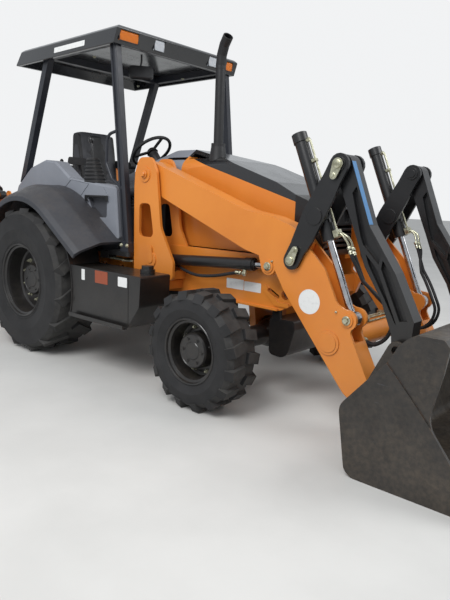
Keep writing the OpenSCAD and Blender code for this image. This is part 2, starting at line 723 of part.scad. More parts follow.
// Section of the wheel arch as [distance from the rear axle, sideways place]
arch_section = rounded([
  [flare_r - 25, console_in, 0], [flare_r, console_in, 0], [flare_r, 880, 90], [790, 1060, 60], [758, 1098, 12],
  [716, 1098, 6], [716, 1082, 4], [736, 1080, 8], [772, 1040, 60], [flare_r - 25, 870, 80]
], 3);
arch_front = 56;
arch_rear = 165;
arch_run = 560;
module arch(section) {
  translate([0, 0, rear_z]) rotate([90, 0, 0]) rotate([0, 0, arch_front])
    mirror([0, 0, 1]) rotate_extrude(angle = arch_rear - arch_front)
      polygon(section);
  // Straight front run, tangent to the arch
  translate([0, 0, rear_z]) rotate([0, 90 - arch_front, 0])
    translate([arch_run, 0, 0]) rotate([0, -90, 0])
      linear_extrude(arch_run)
        polygon(section);
}

module fender_flares() {
  color(dark) placed() mirror_y() {
    arch(arch_section);
    // Inner wall of the wheel arch
    plate(arc([0, rear_z], flare_r - 20, 20, 160, 14), console_in + 12, 24);
  }
}

console_rear = [[-715, 1526], [-473, 1694]];
console_top = [[-760, 1440], console_rear[0], console_rear[1], [-196, 1767], [-23, 1749], [221, 1598], [883, 1525],
    [925, 1084]];
console_points = concat([for (p = console_top) [p.x, p.y, 25]],
    [[524, 1054, 20], [0, 1200, 0], [-640, 1200, 0]]);
// Flap and hand-hold in the console's side
flap = [[235, 1582], [520, 1548], [345, 1400], [105, 1492]];
hand_hold = rounded([[500, 1432, 8], [772, 1432, 8], [768, 1262, 22], [592, 1262, 30]]);
module side_consoles() {
  color(pale) placed() mirror_y() {
    difference() {
      union() {
        plate(rounded(console_points), (console_in + console_out) / 2, console_out - console_in);
        // Raised lip and brow over the hand-hold
        plate(rounded([[478, 1396, 8], [478, 1456, 8], [560, 1536, 40], [720, 1528, 40], [796, 1448, 10],
            [796, 1396, 8]]), console_out + 5, 12);
        plate(rounded([[470, 1398, 8], [470, 1450, 8], [802, 1450, 8], [802, 1398, 8]]), console_out + 9, 18);
      }
      cross([0, rear_z], flare_r + 0.5, 0, 1000);
      translate([0, 0, rear_z])
        rotate([0, -(arch_front - 90), 0])
          block([-50, 0, 0], [1200, 1200, flare_r + 0.5]);
      for (i = [0:len(console_top) - 2])
        edge_cut(console_top[i], console_top[i + 1], console_out, 16);
      plate(hand_hold, console_out, 80);
      difference() {
        plate(flap, console_out, 8);
        plate(inset(flap, -7), console_out, 10);
      }
    }
  }
}

wheel_hub = [560, 1880];
cowl_low = 1430;
cowl_back = 912;
module dash() {
  color(black) placed() {
    // Console under the cowl, and the wall behind the engine
    plate(rounded([[930, floor_top + seat_gap, 0], [905, 1300, 30], [905, cowl_low, 0], [1070, cowl_low, 0],
        [1070, floor_top + seat_gap, 0]]), 0, 560);
    difference() {
      plate(rounded([[905, cowl_low - 30, 0], [905, 1560, 0], [1010, 1690, 40], [1050, 1690, 20],
          [1050, cowl_low - 30, 0]]), 0, 300);
      bar([905, 1460], wheel_hub, 36, 0);
    }
    bar([930, 1440], wheel_hub, 34, 0);
    bar(polar(wheel_hub, 250, heading(wheel_hub, [930, 1440])), polar(wheel_hub, 30, heading(wheel_hub, [930, 1440])),
      46, 0);
    // Pedals
    for (y = [-200, -90]) {
      beam([760, floor_top + 60], [830, floor_top + 190], y, [[-7, -38], [7, -38], [7, 38], [-7, 38]]);
      beam([795, floor_top + 128], [925, floor_top + 100], y, [[-8, -10], [8, -10], [8, 10], [-8, 10]]);
    }
    translate([wheel_hub.x, 0, wheel_hub.y])
      rotate([0, -heading([930, 1440], wheel_hub) + 90, 0]) {
        rotate_extrude() translate([190, 0]) circle(r = 15, $fn = 16);
        for (a = [0:120:359])
          rotate([0, 0, a]) translate([0, -12, -8]) cube([185, 24, 16]);
        cylinder(h = 34, r1 = 55, r2 = 40, center = true);
      }
  }
}

// Rounded cowl between the dash and the hood
module cowl() {
  color(pale) placed()
    difference() {
      intersection() {
        plate(rounded([[cowl_back, cowl_low + seat_gap, 0], [cowl_back - 15, 1640, 60], [950, 1760, 80],
            [1110, 1858, 90], [hood_rear - seat_gap, 1858, 0],
            [hood_rear - seat_gap, cowl_low + seat_gap, 0]]), 0, 2 * hood_half);
        plate_x(hood_section, hood_rear, 1200);
      }
      block([1090, -300, 1300], [hood_rear + 10, 300, 1790]);
      // Space for the column and its housing
      block([cowl_back - 40, -150 - seat_gap, 1300], [1050 + seat_gap, 150 + seat_gap, 1690 + seat_gap]);
      bar([930, 1440], wheel_hub, 60, 0);
    }
}

module seat() {
  color(dark) placed() {
    // Bellows of the suspension: pleats seen from the side and from the front
    intersection() {
      plate(pleats(-300, 60), 0, 600);
      plate_x(pleats(-170, 170), -120, 800);
    }
    // Cushion and back, with side bolsters
    plate(rounded([[-330, seat_base + 119, 10], [-330, seat_base + 190, 30], [110, seat_base + 235, 40],
        [140, seat_base + 170, 40], [90, seat_base + 119, 10]]), 0, 460);
    plate(rounded([[-330, seat_base + 130, 20], [-250, seat_base + 190, 20], [-300, 1900, 60], [-330, 2075, 40],
        [-420, 2075, 40], [-440, 1700, 60], [-400, seat_base + 130, 20]]), 0, 440);
    mirror_y() {
      plate(rounded([[-250, seat_base + 180, 10], [-250, seat_base + 260, 30], [80, seat_base + 270, 40],
          [110, seat_base + 180, 20]]), 215, 60);
      // Armrest on its hinge
      plate(rounded([[-400, 1760, 20], [-380, 1830, 30], [-40, 1800, 35], [-40, 1735, 30], [-330, 1750, 20]]),
          270, 70);
      cross([-370, 1795], 26, 210, 240);
    }
  }
}

// Zigzag outline between two sides, as wide at its foot as the seat box
function pleats(low, high, n = 4, z0 = seat_base, h = 120) = concat(
  [for (i = [0:n - 1], k = [0, 1]) [low - (k == 1 ? 0 : 22), z0 + (i + k / 2) * h / n]],
  [[low - 22, z0 + h], [high + 22, z0 + h]],
  [for (i = [n - 1:-1:0], k = [1, 0]) [high + (k == 1 ? 0 : 22), z0 + (i + k / 2) * h / n]]
);

tank_points = rounded([[600, 442, 0], [1443, 450, 25], [1581, 634, 40], [1595, 864, 16], [600, 870, 0]]);
tank_in = 700;
tank_out = 1000;
guard_r = rear_tyre_r + 45;
module side_tanks() {
  color(black) placed() {
    mirror_y() {
      difference() {
        union() {
          plate(tank_points, (tank_in + tank_out) / 2, tank_out - tank_in);
          // Step along the foot of the box
          plate_z(rounded([[720, tank_out - 1, 0], [720, 1044, 14], [1440, 1044, 14], [1440, tank_out - 1, 0]]),
              442, 14);
          plate(rounded([[720, 442, 0], [720, 474, 6], [1440, 474, 6], [1440, 442, 0]]), 1041, 6);
          // Curved guard between the box and the tyre
          intersection() {
            cross([0, rear_z], guard_r + 14, tank_in, tank_out + 6);
            block([600, tank_in, 430], [760, tank_out + 10, 1010]);
          }
        }
        cross([0, rear_z], guard_r, 0, 1200, $fn = 144);
        block([1100, 1010, 430], [1260, 1030, 480]);
        // Seam round the front panel
        plate([[1452, 480], [1458, 480], [1458, 850], [1452, 850]], tank_out, 8);
      }
      // Foothold treads
      for (x = [860:60:1340])
        block([x, tank_out + 6, 455], [x + 24, 1036, 461]);
    }
    // Filler neck and cap of the right tank, and the lid of the left box
    translate([1480, -830, 855]) {
      cylinder(h = 47, r = 58);
      cylinder(h = 75, r = 48, $fn = 12);
    }
    plate(rounded([[860, 866, 0], [860, 886, 8], [1400, 880, 8], [1400, 862, 0]]), 850, 260);
  }
}

hoe_front = rail_rear_x - seat_gap;
module hoe_frame() {
  color(orange) placed() {
    difference() {
      union() {
        // Front and rear walls with the box between them
        for (x = [hoe_front - 20, hoe_front - 220])
          plate_x(rounded([[-480, 640, 60], [-430, 420, 30], [430, 420, 30], [480, 640, 60], [480, 1180, 40],
              [-480, 1180, 40]]), x, 40);
        block([hoe_front - 240, -stab_cyl_base.x + 60, 420], [hoe_front, stab_cyl_base.x - 60, 1180]);
        mirror_y()
          for (x = [hoe_front - 220, hoe_front - 20])
            plate_x(rounded([[stab_cyl_base.x - 62, 1179, 0], [stab_cyl_base.x + 62, 1179, 0],
                [stab_cyl_base.x + 62, stab_cyl_base.y + 62, 40],
                [stab_cyl_base.x - 62, stab_cyl_base.y + 62, 40]]), x, 40);
        for (z = [400, 985])
          plate_z(rounded([[hoe_front - 230, -190, 0], [swing_x + 110, -80, 30], [swing_x - 75, -80, 75],
              [swing_x - 75, 80, 75], [swing_x + 110, 80, 30], [hoe_front - 230, 190, 0]], 6),
              z, 60);
      }
      translate([swing_x, 0, 300]) cylinder(h = 900, r = 40 + pin_gap);
      // Openings through the box
      for (z = [560, 860])
        plate_x(rounded([[-90, z - 70, 40], [90, z - 70, 40], [90, z + 70, 40], [-90, z + 70, 40]]),
            hoe_front - 120, 400);
    }
    // Stabilizer pins
    mirror_y() {
      for (p = [stab_pin, stab_cyl_base])
        translate([hoe_front - 252, p.x, p.y])
          rotate([0, 90, 0]) cylinder(h = 240, r = 28);
    }
  }
}

// A level plate with its outline in X and Y, standing on z
module plate_z(points, z, t) {
  translate([0, 0, z]) linear_extrude(t) polygon(points);
}

module control_tower() {
  color(black) placed() {
    plate(rounded([[-860, floor_top + seat_gap, 0], [-840, 1480, 40], [-800, 1590, 30], [-690, 1550, 30],
        [-660, floor_top + seat_gap, 0]]), 0, 420);
    // Levers in their boots: two tall ones for the arm, four short ones between
    for (row = [[-150, 1], [-80, 0], [-30, 0], [30, 0], [80, 0], [150, 1]])
      translate([-745, row[0], 1560])
        rotate_extrude($fn = 24)
          polygon([[0, 0], [26, 0], [20, 22], [24, 26], [9, 52], [9, 150 + 60 * row[1]],
              [19, 165 + 60 * row[1]], [19, 190 + 60 * row[1]], [9, 205 + 60 * row[1]],
              [0, 205 + 60 * row[1]]]);
  }
}

module lamps() {
  color("white") placed() roof_lamps(false);
}

module amber_lamps() {
  color(orange) placed() roof_lamps(true);
}

steer_arm = 235;
steer_y = kingpin_y - 60;
link_z = front_z + 40 + seat_gap + 18;
// Steering knuckle on the left side, with its hub
module knuckle() {
  translate([wheelbase, kingpin_y, front_z - 121.5]) cylinder(h = 243, r = 28);
  translate([wheelbase, kingpin_y, front_z - 77]) cylinder(h = 154, r = 62);
  // Hub with its planetary housing, up to the rim's disc
  turned([wheelbase, front_z], [[75, kingpin_y], [75, kingpin_y + 92], [112, kingpin_y + 102], [112, kingpin_y + 130],
      [98, front_track / 2 + front_disc - 12 - seat_gap]]);
  plate_z(rounded([[wheelbase - 40, kingpin_y - 40, 0], [wheelbase - 40, kingpin_y + 20, 0],
      [wheelbase - steer_arm - 20, steer_y + 20, 18], [wheelbase - steer_arm - 20, steer_y - 20, 18]]),
      front_z - 15, 30);
  translate([wheelbase - steer_arm, steer_y, front_z + 14]) cylinder(h = 26, r = 16);
}

module knuckle_left() {
  color(black) placed() knuckle();
}

module knuckle_right() {
  color(black) placed() mirror([0, 1, 0]) knuckle();
}

module steering_link() {
  color(steel) placed() {
    mirror_y()
      translate([wheelbase - steer_arm, steer_y, front_z + 40 + seat_gap]) cylinder(h = 36, r = 26);
    cross([wheelbase - steer_arm, link_z], 15, -steer_y, steer_y);
    // Lock nuts of the ball ends
    mirror_y()
      cross([wheelbase - steer_arm, link_z], 23, steer_y - 110, steer_y - 80, $fn = 6);
  }
}

// Rim of a wheel on the left side: sections as [radius, sideways from the tyre's middle]
module rim(rim_r, w, disc, hub_r, hub_out) {
  rotate([-90, 0, 0])
    rotate_extrude()
      polygon([[0, disc - 12], [rim_r * 0.72, disc - 12], [rim_r - 52, disc - 30],
          [rim_r - 60, -w / 2 + 60], [rim_r - 42, -w / 2 + 48], [rim_r - 20, -w / 2 + 40],
          [rim_r - 15, -w / 2 + 22], [rim_r - 6, -w / 2 + 17], [rim_r, -w / 2 + 22],
          [rim_r, -w / 2 + 35], [rim_r - 5, -w / 2 + 36], [rim_r - 32, 0],
          [rim_r - 5, w / 2 - 36], [rim_r, w / 2 - 35], [rim_r, w / 2 - 22], [rim_r - 6, w / 2 - 17],
          [rim_r - 15, w / 2 - 22], [rim_r - 20, w / 2 - 38], [rim_r - 36, w / 2 - 46],
          [rim_r - 42, w / 2 - 70], [rim_r - 46, disc + 24], [rim_r - 62, disc + 12],
          [hub_r + 34, disc + 12], [hub_r + 26, disc + 18], [hub_r, disc + 18], [hub_r * 0.97, hub_out - 14],
          [hub_r * 0.9, hub_out], [hub_r * 0.86, hub_out - 6], [hub_r * 0.5, hub_out - 6],
          [hub_r * 0.45, hub_out], [0, hub_out]]);
}

module tyre(r, w, rim_r, bars) {
  // bars: [count in a row, thickness, height, inner end, slant]
  core = r - bars[2];
  rotate([-90, 0, 0])
    rotate_extrude($fn = 28)
      polygon([[rim_r + seat_gap, -w / 2 + 24], [(rim_r + core) / 2 - 20, -w / 2], [core - 30, -w / 2 + 12],
          [core, -w / 2 + 50], [core, w / 2 - 50], [core - 30, w / 2 - 12],
          [(rim_r + core) / 2 - 20, w / 2], [rim_r + seat_gap, w / 2 - 24]]);
  mid = (w / 2 + bars[3]) / 2;
  reach = bars[1] / 2 + (w / 2 - 30 - bars[3]) / 2 * sin(bars[4]);
  tip = sqrt(r * r - reach * reach);
  for (side = [-1, 1], i = [0:bars[0] - 1])
    rotate([0, (i + (1 + side) / 4) * 360 / bars[0], 0])
      translate([0, side * mid, 0])
        rotate([0, 0, side * bars[4]])
          plate_x([for (p = [[bars[3] - mid, 8 - core], [bars[3] - mid, -tip], [w / 2 - 30 - mid, -tip],
              [w / 2 - 3 - mid, 60 - tip],
              [w / 2 - 40 - mid, 66 - tip]]) [side * p.x, p.y]], 0, bars[1]);
}

module front_wheel_place(s) {
  translate([wheelbase, 0, front_z])
    mirror([0, s > 0 ? 0 : 1, 0])
      translate([0, front_track / 2, 0]) children();
}

module rear_wheel_place(s) {
  translate([0, 0, rear_z])
    mirror([0, s > 0 ? 0 : 1, 0])
      translate([0, rear_track / 2, 0]) children();
}

module rim_front(s) {
  color(dark) placed() front_wheel_place(s) rim(front_rim_r, front_tyre_w, front_disc, 130, 95);
}

module rim_rear(s) {
  color(dark) placed() rear_wheel_place(s) rim(rear_rim_r, rear_tyre_w, rear_disc, 150, 110);
}

module tyre_front(s) {
  color(black) placed() front_wheel_place(s) tyre(front_tyre_r, front_tyre_w, front_rim_r, [16, 72, 26, 12, 12]);
}

module tyre_rear(s) {
  color(black) placed() rear_wheel_place(s) tyre(rear_tyre_r, rear_tyre_w, rear_rim_r, [15, 84, 32, -14, 34]);
}

// Side view of a loader arm: over the beam, down the leg and back along the underside
arm_points = rounded(concat(
  sharp(arc(arm_pin, 108, 250, 70, 10)),
  from(arm_pin, [[1030, -245, 300], [1260, -280, 300], [1445, -340, 150], [1577, -477, 150], [1698, -594, 120],
    [1800, -800, 60], [1855, -825, 20]]),
  sharp(arc(rod_pin, 66, 80, -60, 8)),
  from(arm_pin, [[1907, -975, 40], [2034, -1222, 120], [2090, -1330, 0]]),
  sharp(arc(bucket_pin, 62, 20, -150, 8)),
  from(arm_pin, [[1906, -1390, 200], [1382, -764, 60]]),
  sharp(arc(lift_pin, 62, -20, -160, 6)),
  from(arm_pin, [[1160, -550, 0], [1030, -520, 300]])
));
arm_tube = [arm_pivot_x + 1756, arm_pivot_z - 1059];
// Fork that the tilt cylinder's rod drops into: thickness of its cheeks and reach of its throat
fork_t = 20;
fork_r = 150;

module loader_arms() {
  color(orange) placed() {
    mirror_y() {
      difference() {
        union() {
          plate(arm_points, arm_y, arm_w);
          cross(arm_pin, 60, arm_in - side_gap - 6, arm_out + side_gap + 6);
        }
        cross(arm_pin, loader_pin_r + pin_gap, arm_in - 50, arm_out + 50);
        // Slots for the cylinder eyes
        plate(concat(arc(lift_pin, 135, 120, 400, 12), [[2560, 1110]]), arm_y, eye_w + 10);
        cross(rod_pin, fork_r, arm_in + fork_t, arm_out - fork_t);
        plate([rod_pin + [-fork_r, 0], rod_pin + [-370, 380], rod_pin + [-270, 640], rod_pin + [110, 260],
            rod_pin + [fork_r, 0]], arm_y, arm_w - 2 * fork_t);
      }
      // Lever pins on both faces of the arm
      cross(lever_pin, loader_pin_r, arm_y - lever_off - lever_t / 2 - 12, arm_in + 1);
      cross(lever_pin, loader_pin_r, arm_out - 1, arm_y + lever_off + lever_t / 2 + 12);
      // Bucket pins
      cross(bucket_pin, loader_pin_r, arm_in - 45, arm_in + 1);
      cross(bucket_pin, loader_pin_r, arm_out - 1, arm_out + 45);
      // Covers over the tube's ends and the keeper of the rod's pin
      cross(arm_tube, 80, arm_out - 1, arm_out + 8);
      cross(arm_tube, 62, arm_out - 1, arm_out + 12);
      cross(rod_pin, 44, arm_out - 1, arm_out + 8);
      cross(lift_pin, 44, arm_out - 1, arm_out + 8);
    }
    // Tube that joins the arms, with its weld collars
    cross(arm_tube, 90, -arm_in - 1, arm_in + 1);
    mirror_y()
      cross(arm_tube, 104, arm_in - 24, arm_in + 1);
  }
}

module lift_barrels() {
  color(black) placed() mirror_y()
    barrel(lift_base, lift_pin, 985, lift_r, loader_rod_r, 52, loader_pin_r, eye_w, arm_y);
}

module lift_rods() {
  color(steel) placed() mirror_y()
    rod(lift_base, lift_pin, 130, loader_rod_r, 46, loader_pin_r, eye_w - 4, arm_y);
}

module tilt_levers() {
  color(black) placed() mirror_y() {
    for (s = [-1, 1]) {
      difference() {
        union() {
          plate(capsule(lever_pin, lever_top, 62, 66), arm_y + s * lever_off, lever_t);
          // Wide knee that carries the trunnion
          plate(rounded([soft(beside(lever_pin, lever_top, 60, -62), 60),
              soft(beside(lever_pin, lever_top, 170, -76), 160),
              soft(beside(lever_pin, lever_top, 480, -74), 160),
              soft(beside(lever_pin, lever_top, 640, -62), 60),
              soft(beside(lever_pin, lever_top, 640, 62), 60),
              soft(beside(lever_pin, lever_top, 330, 84), 300),
              soft(beside(lever_pin, lever_top, 60, 60), 60)]), arm_y + s * lever_off, lever_t);
          for (row = [[trunnion, 56], [lever_top, 44]])
            cross(row[0], row[1], arm_y + s * (lever_off + lever_t / 2 + 3) - 4,
                arm_y + s * (lever_off + lever_t / 2 + 3) + 4);
        }
        cross(lever_pin, loader_pin_r + pin_gap, arm_y + s * lever_off - 30, arm_y + s * lever_off + 30);
      }
      // Half trunnions that hold the tilt cylinder, and half pins of the tilt link
      cross(trunnion, 30, s > 0 ? arm_y + tilt_r + 12 : arm_y - lever_off - 4,
          s > 0 ? arm_y + lever_off + 4 : arm_y - tilt_r - 12);
      cross(lever_top, loader_pin_r, s > 0 ? arm_y + 20 : arm_y - lever_off - lever_t / 2 - 12,
          s > 0 ? arm_y + lever_off + lever_t / 2 + 12 : arm_y - 20);
    }
    cross(lever_top, loader_pin_r, arm_y - 21, arm_y + 21);
  }
}

module tilt_barrels() {
  color(black) placed() mirror_y()
    difference() {
      union() {
        bar(tilt_top, tilt_gland, tilt_r, arm_y);
        bar(tilt_top, polar(tilt_top, 60, heading(tilt_top, rod_pin)), tilt_r + 6, arm_y);
        bar(polar(tilt_gland, 110, heading(rod_pin, tilt_top)), tilt_gland, tilt_r + 6, arm_y);
        cross(trunnion, 52, arm_y - lever_off + lever_t / 2 + run_gap, arm_y + lever_off - lever_t / 2 - run_gap);
      }
      cross(trunnion, 30 + pin_gap, arm_y - 200, arm_y - tilt_r - 11);
      cross(trunnion, 30 + pin_gap, arm_y + tilt_r + 11, arm_y + 200);
      bar(polar(tilt_top, 90, heading(tilt_top, rod_pin)), rod_pin, loader_rod_r + seat_gap, arm_y);
    }
}

module tilt_rods() {
  color(steel) placed() mirror_y()
    rod(tilt_top, rod_pin, 540, loader_rod_r, 50, loader_pin_r, eye_w - 4, arm_y);
}

link_rear = [[3385, 700], [3300, 900], [3180, 1080], [3110, 1250]];
link_front = [[3190, 1330], [3380, 1060], [3520, 790]];
link_points = concat(
  arc(lever_top, 62, 205, 30, 10),
  link_front,
  arc(link_pin, 58, 10, -160, 8),
  link_rear
);
link_w = 110;
link_pockets = [
  [[3085, 1560], [3178, 1330], [3281, 1168], [3268, 1102], [3160, 1208], [3136, 1262], [3060, 1520]],
  [[3178, 1160], [3206, 1092], [3326, 900], [3400, 770], [3413, 757], [3265, 1070]],
  [[3293, 1130], [3350, 1060], [3478, 790], [3430, 782], [3287, 1078]]
];

module tilt_links() {
  color(black) placed() mirror_y()
    difference() {
      plate(link_points, arm_y, link_w);
      cross(lever_top, loader_pin_r + pin_gap, arm_y - 100, arm_y + 100);
      // Pockets of the cast link, split by a Y-shaped rib
      for (s = [-1, 1], p = link_pockets)
        plate(p, arm_y + s * link_w / 2, 64);
    }
}

// Side view of the loader bucket, outside, from the cutting edge round the back to the top
bucket_rows = [
  [edge_tip.x, edge_tip.y, 0], [edge_tip.x - 40, 0, 0], [3470, 0, 50], [3418, 30, 60], [3360, 383, 90],
  [3617, 683, 60], [3664, 774, 60], [3714, 821, 40], [3759, 843, 20], [3884, 842, 15], [3916, 806, 15],
  [3897, 676, 120], [3841, 417, 150], [3973, 251, 60]
];
bucket_points = rounded(bucket_rows);
bucket_inside = rounded([
  [edge_tip.x + 20, 30, 0], [edge_tip.x - 40, 26, 0], [3480, 26, 40], [3446, 50, 50], [3390, 375, 80],
  [3640, 664, 50], [3686, 758, 50], [3724, 799, 30], [3770, 817, 15], [3884, 817, 0], [4400, 817, 0]
]);
bucket_wear = rounded([
  [edge_tip.x - 8, 10, 0], [edge_tip.x - 42, 0, 0], [3470, 0, 50], [3418, 30, 60], [3360, 383, 90], [3520, 570, 0],
  [3612, 676, 0], [3750, 529, 60], [3850, 416, 60], [3973, 251, 60]
]);
bucket_ear_y = [arm_in - 36, arm_out + 12];
wear_t = 8;

module loader_bucket() {
  color(black) placed() {
    difference() {
      union() {
        plate(bucket_points, 0, bucket_w - 2 * wear_t);
        // Wear plates over the lower sides, and the thick cutting edge
        mirror_y() plate(bucket_wear, (bucket_w - wear_t - 1) / 2, wear_t + 1);
      }
      plate(bucket_inside, 0, bucket_w - 2 * wear_t - 2 * bucket_t);
    }
    plate([[edge_tip.x - 280, 1], [edge_tip.x - 262, 38], [edge_tip.x - 60, 36], [edge_tip.x - 1, 13],
        [edge_tip.x - 40, 1]], 0, bucket_w - 2);
    mirror_y() {
      // Ribs up the back
      for (y = [230, 780])
        plate(rounded([[3416, 60, 0], [3364, 383, 60], [3618, 686, 0], [3588, 694, 20], [3334, 396, 80],
            [3392, 48, 20]]), y, 16);
      // Ears on the back for the arms and the tilt links
      for (y = bucket_ear_y)
        difference() {
          plate(concat(arc(bucket_pin, 62, 110, 250, 6),
              [[3300, 150], [3400, 140], [3366, 383], [3560, 610], [3600, 665]],
              arc(link_pin, 55, 60, 160, 5)), y + 12, 24);
          cross(bucket_pin, loader_pin_r + pin_gap, y - 10, y + 40);
          cross(link_pin, loader_pin_r, y - 10, y + 40);
        }
    }
  }
}

module swing_post() {
  color(orange) placed() {
    translate([swing_x, 0, 365]) cylinder(h = 715, r = 40);
    difference() {
      union() {
        translate([swing_x, 0, 465]) cylinder(h = 515, r = boom_in - 8);
        plate(rounded([[swing_x, 500, 0], [foot_pin.x, foot_z - 60, 60], [foot_pin.x - 50, foot_z - 50, 40],
            [foot_pin.x - 50, foot_z + 50, 40], [swing_x, 760, 0]]), 0, 2 * boom_in - 12);
        for (s = [-1, 1])
          plate(concat([[swing_x, 740], [swing_x, 960], [swing_x - 80, 960],
              [boom_cyl_base.x + 70, 890]], arc(boom_cyl_base, 62, 70, 270, 8)), s * 56, 24);
      }
      cross(boom_cyl_base, 74, -hoe_eye_w / 2 - 4, hoe_eye_w / 2 + 4);
      // Lightening holes in the casting
      cross([swing_x - 110, 640], 46, -boom_in, boom_in);
    }
    cross(foot_pin, hoe_pin_r, -boom_out - 15, boom_out + 15);
    cross(boom_cyl_base, hoe_pin_r, -68, 68);
  }
}

// A point given along and beside the boom
function on_boom(s, h) = beside(foot_pin, boom_tip, s, -h);
boom_points = rounded(concat(
  sharp(arc(foot_pin, 80, 80, -80, 8)),
  [soft(on_boom(300, -130), 200), soft(on_boom(900, -170), 400), soft(on_boom(1700, -150), 400)],
  sharp(arc(boom_tip, 80, -90, -270 + boom_rise * 2, 8)),
  [soft(on_boom(1900, 90), 300), soft(on_boom(1300, 140), 400), soft(on_boom(800, 165), 100),
   soft(on_boom(500, 100), 200), soft(on_boom(250, 75), 200)]
));

module boom() {
  color(orange) placed() {
    difference() {
      union() {
        plate(boom_points, 0, 2 * boom_out);
        // Bosses round the pins
        for (p = [foot_pin, boom_tip])
          cross(p, 66, -boom_out - 6, boom_out + 6);
      }
      // Open trough between the side plates
      plate([on_boom(-150, -200), on_boom(1560, -200), on_boom(1560, 250), on_boom(-150, 250)], 0, boom_in_w);
      plate([on_boom(2150, -220), on_boom(2750, -220), on_boom(2750, 250), on_boom(2150, 250)], 0, boom_in_w);
      cross(foot_pin, hoe_pin_r + pin_gap, -200, 200);
      // Side plates set in from the flanges' edges
      for (s = [-1, 1])
        plate(rounded([soft(on_boom(380, -100), 40), soft(on_boom(900, -136), 300), soft(on_boom(1700, -118), 300),
            soft(on_boom(2080, -66), 40), soft(on_boom(1900, 58), 100), soft(on_boom(1300, 106), 300),
            soft(on_boom(820, 128), 200), soft(on_boom(520, 66), 60), soft(on_boom(380, 46), 40)]),
            s * boom_out, 10);
    }
    // Ears for the dipper cylinder
    for (s = [-1, 1])
      plate(concat([on_boom(820, 150), on_boom(1180, 130)],
          arc(dip_cyl_base, 60, 180 - boom_rise, -boom_rise, 8)), s * (boom_in + boom_t / 2), boom_t);
    cross(dip_cyl_base, hoe_pin_r, -boom_in - 1, boom_in + 1);
    cross(boom_tip, hoe_pin_r, -boom_out - 12, boom_out + 12);
    for (s = [-1, 1])
      cross(boom_cyl_pin, hoe_pin_r, s > 0 ? boom_in - 1 : -boom_out - 15, s > 0 ? boom_out + 15 : -boom_in + 1);
  }
}

module boom_barrel() {
  color(black) placed()
    barrel(boom_cyl_base, boom_cyl_pin, 800, boom_cyl_r, hoe_rod_r, 58, hoe_pin_r, hoe_eye_w, 0);
}

module boom_rod() {
  color(steel) placed()
    rod(boom_cyl_base, boom_cyl_pin, 280, hoe_rod_r, 52, hoe_pin_r, hoe_eye_w, 0);
}

module dipper_barrel() {
  color(black) placed()
    barrel(dip_cyl_base, dip_cyl_pin, 1190, dipper_cyl_r, hoe_rod_r, 56, hoe_pin_r, hoe_eye_w, 0);
}

module dipper_rod() {
  color(steel) placed()
    rod(dip_cyl_base, dip_cyl_pin, 620, hoe_rod_r, 50, hoe_pin_r, hoe_eye_w, 0);
}

// A point given along and beside the dipper, with h out to the rear
function on_dipper(s, h) = beside(boom_tip, dipper_tip, s, -h);

module dipper() {
  color(orange) placed() {
    difference() {
      plate(rounded(concat(
        sharp(arc(dip_cyl_pin, tail_r, 20, 200, 8)),
        [soft(on_dipper(0, 175), 60), soft(on_dipper(250, 170), 200), soft(on_dipper(800, 90), 400),
         soft(on_dipper(1100, 55), 0)],
        sharp(arc(dipper_tip, 52, 200, 340, 6)),
        [soft(on_dipper(1200, -75), 150), soft(on_dipper(300, -110), 200)],
        sharp(arc(boom_tip, head_r, -10, 30, 3)))), 0, dipper_w);
      // Sides set in from the flanges' edges
      for (s = [-1, 1])
        plate(rounded([soft(on_dipper(220, 128), 40), soft(on_dipper(800, 56), 300), soft(on_dipper(1040, 26), 20),
            soft(on_dipper(1040, -52), 20), soft(on_dipper(300, -78), 60),
            soft(on_dipper(220, -72), 40)]), s * dipper_w / 2, 10);
      cross(boom_tip, hoe_pin_r + pin_gap, -200, 200);
      cross(dipper_tip, hoe_pin_r + pin_gap, -200, 200);
      cross(rocker_pin, hoe_pin_r + pin_gap, -200, 200);
      // Slot for the eye of the dipper cylinder
      cross(dip_cyl_pin, 240, -hoe_eye_w / 2 - 5, hoe_eye_w / 2 + 5);
    }
    // Ears for the bucket cylinder
    for (s = [-1, 1])
      plate(concat([on_dipper(-60, 120), on_dipper(240, 120)],
          arc(hoe_cyl_base, 48, 250, 120, 5)), s * (hoe_eye_w / 2 + 5 + 10), 20);
    cross(hoe_cyl_base, hoe_pin_r - 6, -hoe_eye_w / 2 - 6, hoe_eye_w / 2 + 6);
  }
}

module bucket_barrel() {
  color(black) placed()
    barrel(hoe_cyl_base, link_joint, 752, hoe_cyl_r, 24, 46, hoe_pin_r - 6, hoe_eye_w, 0);
}

module bucket_rod() {
  color(steel) placed()
    rod(hoe_cyl_base, link_joint, 282, 24, 44, hoe_pin_r - 6, 66, 0);
}

rocker_in = dipper_w / 2 + run_gap;
module rocker_links() {
  color(black) placed() {
    for (s = [-1, 1])
      plate(capsule(rocker_pin, link_joint, 55, 52), s * (rocker_in + 10), 20);
    cross(rocker_pin, hoe_pin_r, -rocker_in - 1, rocker_in + 1);
    for (s = [-1, 1])
      cross(link_joint, 26, s > 0 ? 40 : -rocker_in - 1, s > 0 ? rocker_in + 1 : -40);
  }
}

module push_link() {
  color(black) placed()
    difference() {
      plate(capsule(link_joint, bucket_ear, 48, 50), 0, 150);
      cross(link_joint, 160, -39, 39);
      cross(link_joint, 26 + pin_gap, -200, 200);
    }
}

// Side view of the digging bucket, from the lip round the back to the ear
hoe_bucket_points = rounded(from([dipper_tip.x, 0], [
  [420, 6, 0], [300, 0, 200], [-250, 0, 150], [-400, 60, 120], [-495, 200, 150], [-480, 400, 120], [-370, 530, 60],
  [-120, 490, 0], [60, 420, 0]
]));

